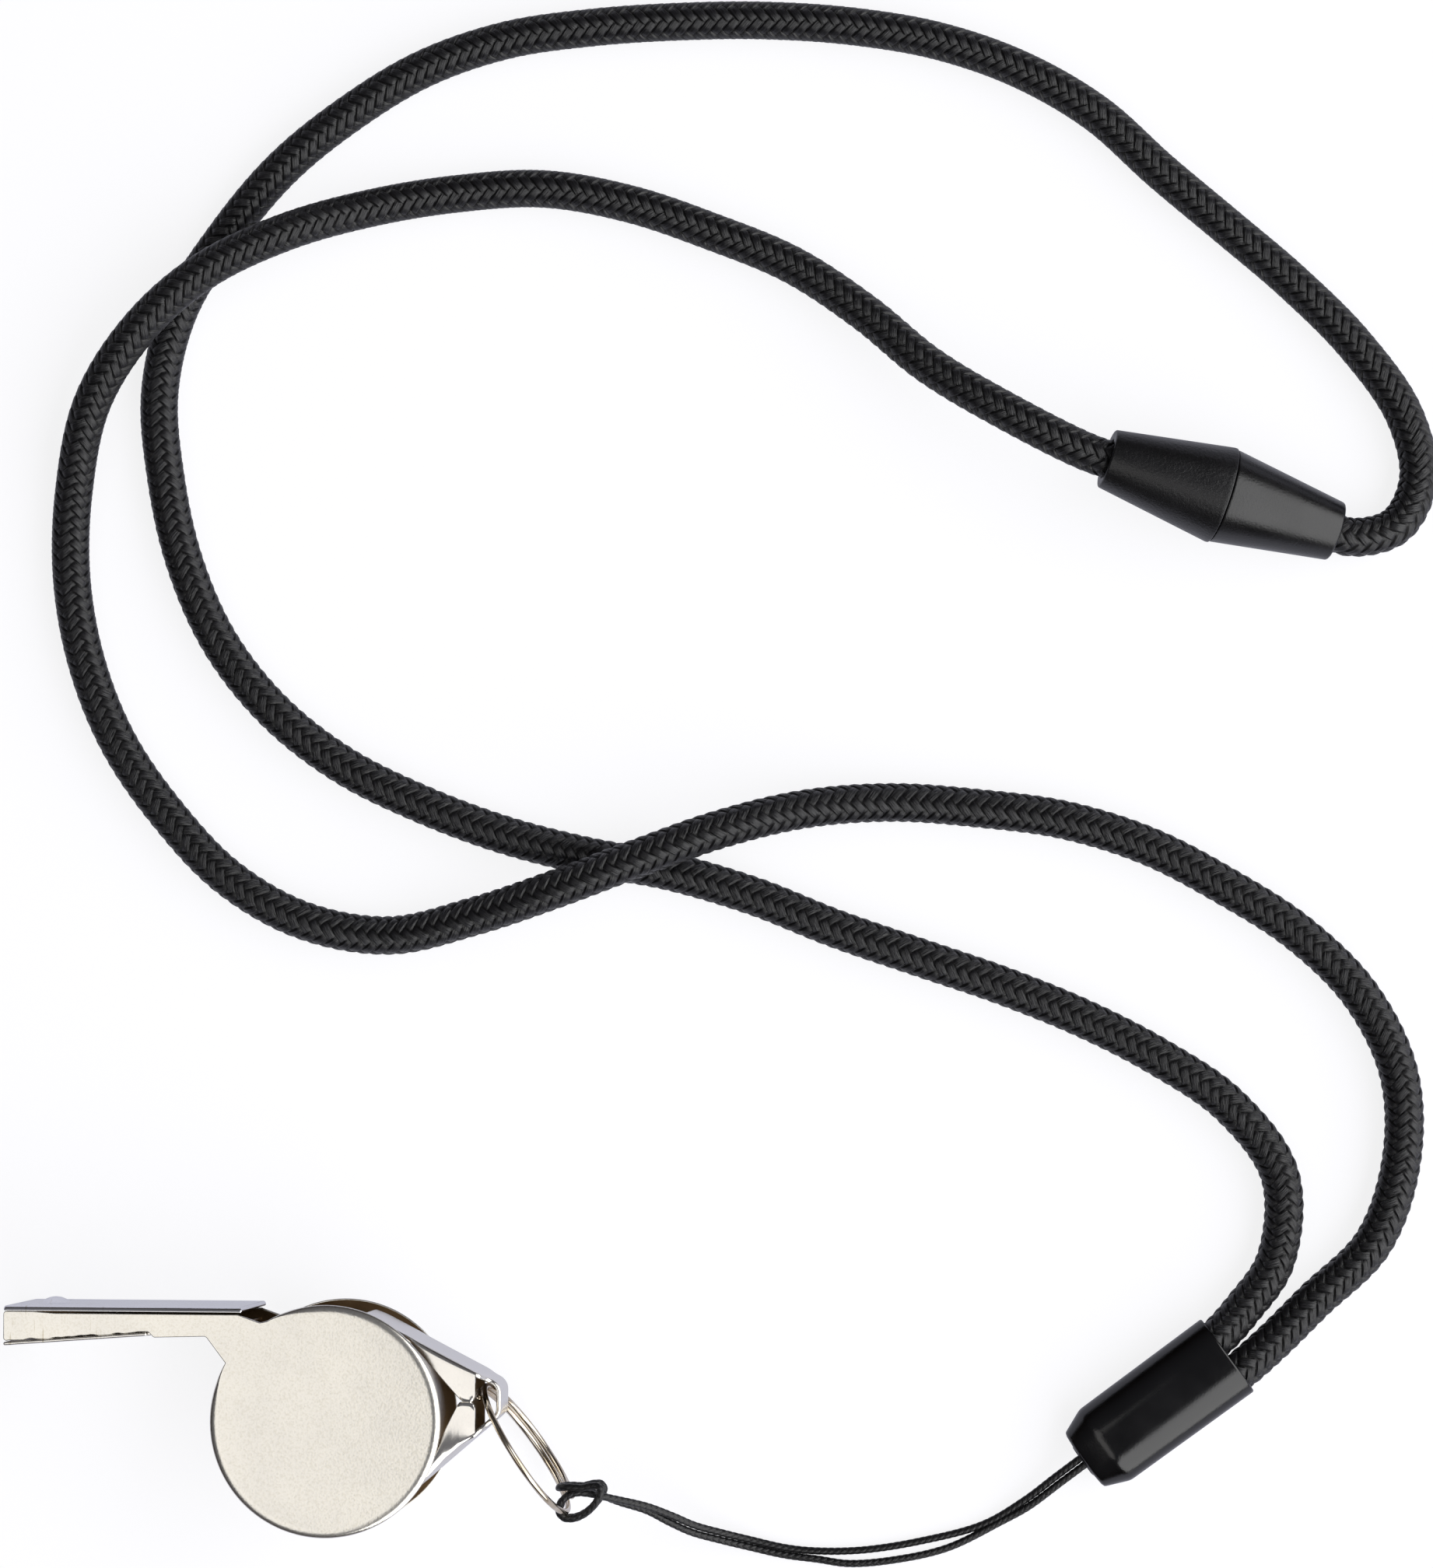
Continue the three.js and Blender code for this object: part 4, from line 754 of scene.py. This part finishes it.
mouth_top, seam_shut = (MOUTH_TOP[0], MOUTH_TOP[1] + 0.03), (-28.6, MOUTH_TOP[1] + 0.012)
seam_open, notch_start = (-26.4, MOUTH_TOP[1] - SEAM_LINE - 0.03), (NOTCH_START[0], NOTCH_START[1] - SEAM_LINE)
solder_x = linspace(MOUTH_BOTTOM[0] + 0.6, FLOOR_STEP[0] - 0.6, 90)
solder_y = np.interp(solder_x, (MOUTH_BOTTOM[0], FLOOR_STEP[0]), (MOUTH_BOTTOM[1], FLOOR_STEP[1]))
lumps = (sin(solder_x * 1.7 + 0.6) * sin(solder_x * 0.63)
         + 0.5 * sin(solder_x * 4.1) * sin(solder_x * 1.1 + 2))
solder_y = solder_y + 0.02 + SOLDER_LUMP * lumps * ease(-solder_x, 17.6, 19)
cheek = arc(PLATE_RADIUS + CHEEK_GROWTH, UNDERSIDE_ANGLE, 360 + LIP_ANGLE + LIP_LAP) + CHEEK_SHIFT
corner_a = filleted([mouth_top, MOUTH_BOTTOM, (solder_x[0], solder_y[0])], [0, 0.3, 0])[1:-1]
corner_b = filleted([(solder_x[-1], solder_y[-1]), FLOOR_STEP, UNDERSIDE_MOUTH_END, UNDERSIDE_BARREL_END,
                     cheek[0]], [0, 0.15, 0.25, 0.4, 0])[1:-1]
corner_c = filleted([cheek[-1], NOTCH_END, notch_start, seam_open, seam_shut, mouth_top, MOUTH_BOTTOM],
                    [0, 0.35, 0.25, 2.0, 2.0, 0.3, 0])[1:-1]
blank = join([corner_a, stack([solder_x, solder_y], -1), corner_b, cheek, corner_c])
from_end = np.minimum(np.arange(len(cheek)), np.arange(len(cheek))[::-1])
edge_softness = join([
    np.full(len(corner_a) + len(solder_x) + len(corner_b), PLATE_EDGE),
    PLATE_EDGE + (CHEEK_EDGE - PLATE_EDGE) * ease(from_end, 0, 14), np.full(len(corner_c), BACK_EDGE)])
front = plate(blank, THICKNESS - SHEET, THICKNESS, edge_softness)
rear = (front[0] * (1, 1, -1) + (0, 0, THICKNESS), *front[1:])
for name, side, node in (("front_cheek_plate", front, "front_side_plate"),
                         ("rear_cheek_plate", rear, "rear_side_plate")):
    piece(name, [side], NICKEL_CHEEK, "whistle", [node])

# Barrel band, roof and windway floor

inner_low, inner_high = SHEET + SOLDER_GAP, THICKNESS - SHEET - SOLDER_GAP
band_turn = (UNDERSIDE_BARREL_END[0] + SHEET / 2, UNDERSIDE_BARREL_END[1] + 0.06 + SHEET / 2)
band_path = join([
    arc(BAND_RADIUS - SHEET / 2, LIP_ANGLE, UNDERSIDE_ANGLE - 360),
    filleted([polar(BAND_RADIUS - SHEET / 2, UNDERSIDE_ANGLE), band_turn, (-15.4, 7.93 + SHEET / 2)], [0, 0.5, 0])[1:]])
band_path, band_inset = end_rounds(band_path, 0.2)
piece("barrel_band_sheet", [strip(band_path, SHEET, inner_low, inner_high, 0.1, inset=band_inset)], NICKEL_LUG,
      "whistle", ["barrel_band"])

roof_rise = SHEET / 2 + SOLDER_GAP
roof_x = linspace(ROOF_END[0], MOUTH_TOP[0], 140)
roof_y = np.interp(roof_x, (MOUTH_TOP[0], ROOF_END[0]), (MOUTH_TOP[1], ROOF_END[1])) + roof_rise
roof_path, roof_inset = end_rounds(stack([roof_x, roof_y], -1)[::-1], 0.2)
near_mouth = clip(roof_path[:, 0] - MOUTH_TOP[0], 0, ROOF_CORNER)
corner_cut = ROOF_CORNER - np.sqrt(ROOF_CORNER ** 2 - (ROOF_CORNER - near_mouth) ** 2)


def bite_bump(x, z):
    """Dome pressed up in the roof: its height falls as a power of one minus the squared share of its radius."""
    r = np.hypot(x - BUMP_X, z - THICKNESS / 2)
    return BUMP_HEIGHT * clip(1 - (r / BUMP_RADIUS) ** 2, 0, 1) ** BUMP_POWER


roof = strip(roof_path, SHEET, corner_cut, THICKNESS - 0.1 * corner_cut, ROOF_EDGE, 0.05, lift=bite_bump,
             inset=roof_inset, across=90)
piece("mouthpiece_roof_sheet", [roof], NICKEL_SIDE, "whistle", ["mouthpiece_roof"])

floor_drop = -FLOOR_SHEET / 2 - SOLDER_GAP
floor_mouth = array([MOUTH_BOTTOM[0], MOUTH_BOTTOM[1] + floor_drop])
floor_step = array([FLOOR_STEP[0] - 0.15, FLOOR_STEP[1] + floor_drop])
outer_floor, outer_inset = end_rounds(linspace(floor_mouth, floor_step, 20), 0.16)
inner_floor, inner_inset = end_rounds(filleted([floor_step - (1.0, 0.067), floor_step, WINDWAY_END], [0, 2.0, 0]), 0.16)
piece("windway_floor_sheet", [
    strip(outer_floor, FLOOR_SHEET, 0.0, THICKNESS, 0.16, inset=outer_inset, inner_face=1),
    strip(inner_floor, FLOOR_SHEET * 0.96, inner_low, inner_high, 0.12, inset=inner_inset, inner_face=1)],
    NICKEL_LUG, "whistle", ["windway_floor"])

# Tail lug: a strap bent in a V round the ring slot. Each leg's edges are rolled over into flanges that meet in a seam.

leg = BAND_RADIUS + SOLDER_GAP + SHEET / 2
outer_leg = leg + SHEET / 2
slot_x = LUG_TIP_X - SHEET - SLOT_WIDTH
leg_end = slot_x - 0.12
HALF_LUG, MIDDLE = LUG_WIDTH / 2, THICKNESS / 2
LEG_NORMALS = (UPPER_LEG_NORMAL, LOWER_LEG_NORMAL)


def on_leg(normal, x, distance):
    """Point at x on a leg, where the leg's line stands at a distance from the barrel axis."""
    a = radians(normal)
    return stack([x, (distance - x * cos(a)) / sin(a)], -1)


seam_y = sum(on_leg(n, slot_x, leg)[1] for n in LEG_NORMALS) / 2 + 0.18


def rolled_leg(normal, start_x, edge_point, edge_slope, roll_at, deepest, most_lean):
    """One leg with both flanges, as a folded sheet. Rows are lines of constant x from the barrel to the slot; along a
    row the section goes from the front flange's free edge over a quarter-ellipse roll, across the leg and over the
    rear roll to the other free edge, and back along the inside. The roll's length is a cubic through four given
    places, the free edge follows a slanting cut near the barrel, then the seam, and is rounded at the slot. deepest
    limits the roll's depth, and most_lean is how far the leg leans in below the roll."""
    end_run, seam_gap, edge_room, lean_rate, lean_from, shade_from, shade_to = 0.7, 0.1, 0.2, 0.28, 0.4, 11.5, 13.5
    close = sin(linspace(0.04, pi / 2, LEG_END_ROWS))
    x = join([linspace(start_x, leg_end - end_run, LEG_ROWS), leg_end - end_run * (1 - close)])
    sign = np.sign(normal)
    slope = abs(sin(radians(normal)))
    outer_y = on_leg(normal, x, outer_leg)[:, 1]
    cut_y = edge_point[1] + edge_slope * (x - edge_point[0])
    seam = sign * (outer_y - seam_y) - seam_gap
    cut = sign * (outer_y - cut_y)
    reach = -np.logaddexp(-6 * seam, -6 * cut) / 6
    to_slot = clip(leg_end - x, 0, SLOT_ROUND)
    reach = (reach - (SLOT_ROUND - np.sqrt(SLOT_ROUND ** 2 - (SLOT_ROUND - to_slot) ** 2))) * slope
    reach = np.logaddexp(12 * reach, 12 * LEAST_REACH) / 12
    wanted = np.polyval(np.polyfit(*roll_at, 3), x)
    roll = -np.logaddexp(-8 * wanted, -8 * (reach - edge_room)) / 8
    depth = np.minimum(roll, deepest)
    lean = clip(lean_rate * (roll - lean_from), 0, most_lean)[:, None]
    b = radians(linspace(90, 0, 14))

    def section(offset):
        """Half of the section, from the free edge to the middle of the leg, offset inwards from the outer face."""
        r, fall = (np.maximum(v - offset, 0.02)[:, None] for v in (roll, depth))
        flat = reach[:, None] + (roll - reach)[:, None] * linspace(0, 1, 6)[:-1]
        d = join([flat, roll[:, None] - r * cos(b), np.full((len(x), 2), offset)], 1)
        z = join([np.full_like(flat, HALF_LUG - offset), HALF_LUG - depth[:, None] + fall * sin(b),
                  np.tile([HALF_LUG - LEAN_HEIGHT, 0.0], (len(x), 1))], 1)
        leaning = clip((z - HALF_LUG + LEAN_HEIGHT) / LEAN_HEIGHT, 0, 1) * clip(1 - d / roll[:, None], 0, 1)
        return d + lean * leaning, z

    d_out, z_out = section(0.0)
    d_in, z_in = section(SHEET)
    lip_d = reach[:, None] + array([0.1, 0.12, 0.1])
    lip_z = np.broadcast_to(HALF_LUG - array([0.1, SHEET / 2, SHEET - 0.08]), lip_d.shape)
    d = join([d_out, d_out[:, -2::-1], lip_d, d_in, d_in[:, -2::-1], lip_d[:, ::-1]], 1)
    z = join([z_out, -z_out[:, -2::-1], -lip_z, -z_in, z_in[:, -2::-1], lip_z[:, ::-1]], 1)
    y = outer_y[:, None] - sign * d / slope
    outer = 2 * d_out.shape[1] - 1
    # Painted shade: the inside faces get the nickel finish's tarnished brown and shade, at 0.3 strength near the barrel
    # and in full towards the slot.
    inside = join([np.zeros(outer + 2), np.ones(d.shape[1] - outer - 5), np.zeros(3)])
    inside = inside * (0.3 + 0.7 * ease(x, shade_from, shade_to))[:-1, None]
    return grid(stack([np.broadcast_to(x[:, None], d.shape), y, MIDDLE + z], -1), inside=inside)


upper_leg = rolled_leg(UPPER_LEG_NORMAL, UPPER_LEG_START, (10.55, 4.26), -1.136,
                       ((7.1, 10.0, 12.2, 14.2), (0.3, 0.5, 0.45, 0.29)), deepest=0.5, most_lean=0.0)
lower_leg = rolled_leg(LOWER_LEG_NORMAL, LOWER_LEG_START, (11.03, -1.5), 2.0,
                       ((8.7, 10.5, 12.5, 14.2), (0.4, 2.4, 2.2, 0.29)), deepest=0.3, most_lean=0.5)

tip = LUG_TIP_X - SHEET / 2
slot_upper, slot_lower = (on_leg(n, slot_x - 0.3, leg) for n in LEG_NORMALS)
tip_upper, tip_lower = (on_leg(n, tip, leg) for n in LEG_NORMALS)
bend = filleted([slot_upper, tip_upper, tip_lower, slot_lower], [0, LUG_BEND, LUG_BEND, 0], step=5.0)
bend = join([linspace(bend[0], bend[1], 8)[:-1], bend[1:-2], linspace(bend[-2], bend[-1], 8)])
taper_end = LUG_TIP_X - 1.1
half_width = HALF_LUG - (LUG_WIDTH - LUG_TIP_WIDTH) / 2 * ease(bend[:, 0], slot_x, taper_end)
tucked = TUCK * (bend[:, 0] < leg_end - 0.01)
tip_strap = strip(bend, SHEET, MIDDLE - half_width, MIDDLE + half_width, 0.28, 0.2, inset=tucked)
feet = []
for normal, start_x, toe in ((UPPER_LEG_NORMAL, UPPER_LEG_START, UPPER_LEG_NORMAL + LUG_FOOT_ARC),
                             (LOWER_LEG_NORMAL, LOWER_LEG_START, LOWER_LEG_NORMAL - LUG_FOOT_ARC)):
    joint_x = start_x - 0.004 - SHEET / 2 * cos(radians(normal))
    straight = linspace(polar(leg, normal), on_leg(normal, joint_x, leg), 12)
    under_leg = on_leg(normal, array([start_x + 0.25]), leg)
    foot = join([arc(leg, toe, normal)[:-1], straight, under_leg])
    foot, foot_inset = end_rounds(foot, 0.2, tail=False)
    foot_inset[-1] = TUCK
    feet.append(strip(foot, SHEET, MIDDLE - HALF_LUG, MIDDLE + HALF_LUG, 0.2, inset=foot_inset,
                      inner_face=-np.sign(normal)))
piece("tail_lug_strap", [upper_leg, lower_leg, tip_strap, *feet], NICKEL_LUG, "whistle", ["tail_lug"])

# Cork pea, slightly out of round

lat, lon = np.meshgrid(linspace(0.02, pi - 0.02, 60), linspace(0, TURN, 96, endpoint=False), indexing="ij")
ball = stack([sin(lat) * cos(lon), sin(lat) * sin(lon), cos(lat)], -1)
bx, by, bz = np.moveaxis(ball, -1, 0)
dents = 0.006 * sin(5 * bx + 2) * sin(6 * by) + 0.004 * sin(11 * bz + 4 * bx)
pea = grid(array(PEA_CENTRE) + ball * (PEA_RADIUS * (0.988 + dents))[..., None])
piece("cork_pea", [pea], CORK, "pea", ["pea"])

# Floor, light and world: a white table under soft boxes in a dim room


def white_table():
    """Matt white table: takes faint soft shadows, reads as white paper to the eye and as lilac grey in the metal."""
    material, tree, shader = new_finish("white_table", {
        "Base Color": linear("#7e7e86"), "Roughness": 0.9, "Specular IOR Level": 0.1})
    seen, mirrored_in = 0.84, 0.53
    path = put(tree, "LightPath", {})
    glossy = put(tree, "Math", {0: path["Is Glossy Ray"], 1: mirrored_in}, **TIMES)["Value"]
    glow = put(tree, "Math", {0: path["Is Camera Ray"], 1: seen, 2: glossy}, **TIMES_PLUS)["Value"]
    hue = put(tree, "Mix", {0: path["Is Camera Ray"], 6: linear("#e4e5f2"), 7: linear("#ffffff")}, **TINTED)[2]
    feed(tree, shader, {"Emission Color": hue, "Emission Strength": glow})
    return material


TABLE_HALF, TABLE_DROP = 3.0, 0.00002
corners = array([(-1, -1, 0), (1, -1, 0), (1, 1, 0), (-1, 1, 0)]) * TABLE_HALF - (0, 0, TABLE_DROP)
table_mesh = bpy.data.meshes.new("table")
table_mesh.from_pydata(corners, [], [(0, 1, 2, 3)])
table_mesh.materials.append(white_table())
table = add_object("table", table_mesh)


def soft_box(name, place, aim, size, radiance, code):
    """Soft box that faces a point; its power is its radiance times pi times its area."""
    data = bpy.data.lights.new(name, "AREA")
    data.shape, data.size, data.size_y = "RECTANGLE", size[0], size[1]
    data.energy = radiance * pi * size[0] * size[1]
    data.color = linear(code)[:3]
    lamp = add_object(name, data)
    facing = (Vector(aim) - Vector(place)).to_track_quat("-Z", "Y")
    lamp.matrix_world = Matrix.Translation(place) @ facing.to_matrix().to_4x4()


soft_box("box_over_left", (-0.22, -0.165, 0.75), (-0.22, -0.165, 0.0), (0.4, 0.57), 0.98, "#fffcf8")
soft_box("box_right", (0.836, -0.183, 0.567), (0.126, 0.034, -0.102), (2.34, 1.255), 2.4, "#ffffff")

world = bpy.data.worlds.new("studio")
bpy.context.scene.world = world
world.use_nodes = True
sky = world.node_tree
look = put(sky, "TexCoord", {})["Generated"]
height = put(sky, "SeparateXYZ", {"Vector": look})["Z"]
shade = put(sky, "ValToRGB", {"Fac": height}, stops=[
    (0.0, "#2a231c"), (0.2, "#2c2620"), (0.5, "#4e4c4e"), (0.9, "#646468")])["Color"]
feed(sky, sky.nodes["Background"], {"Color": shade, "Strength": 1.0})
bpy.context.scene.view_settings.view_transform = "Standard"
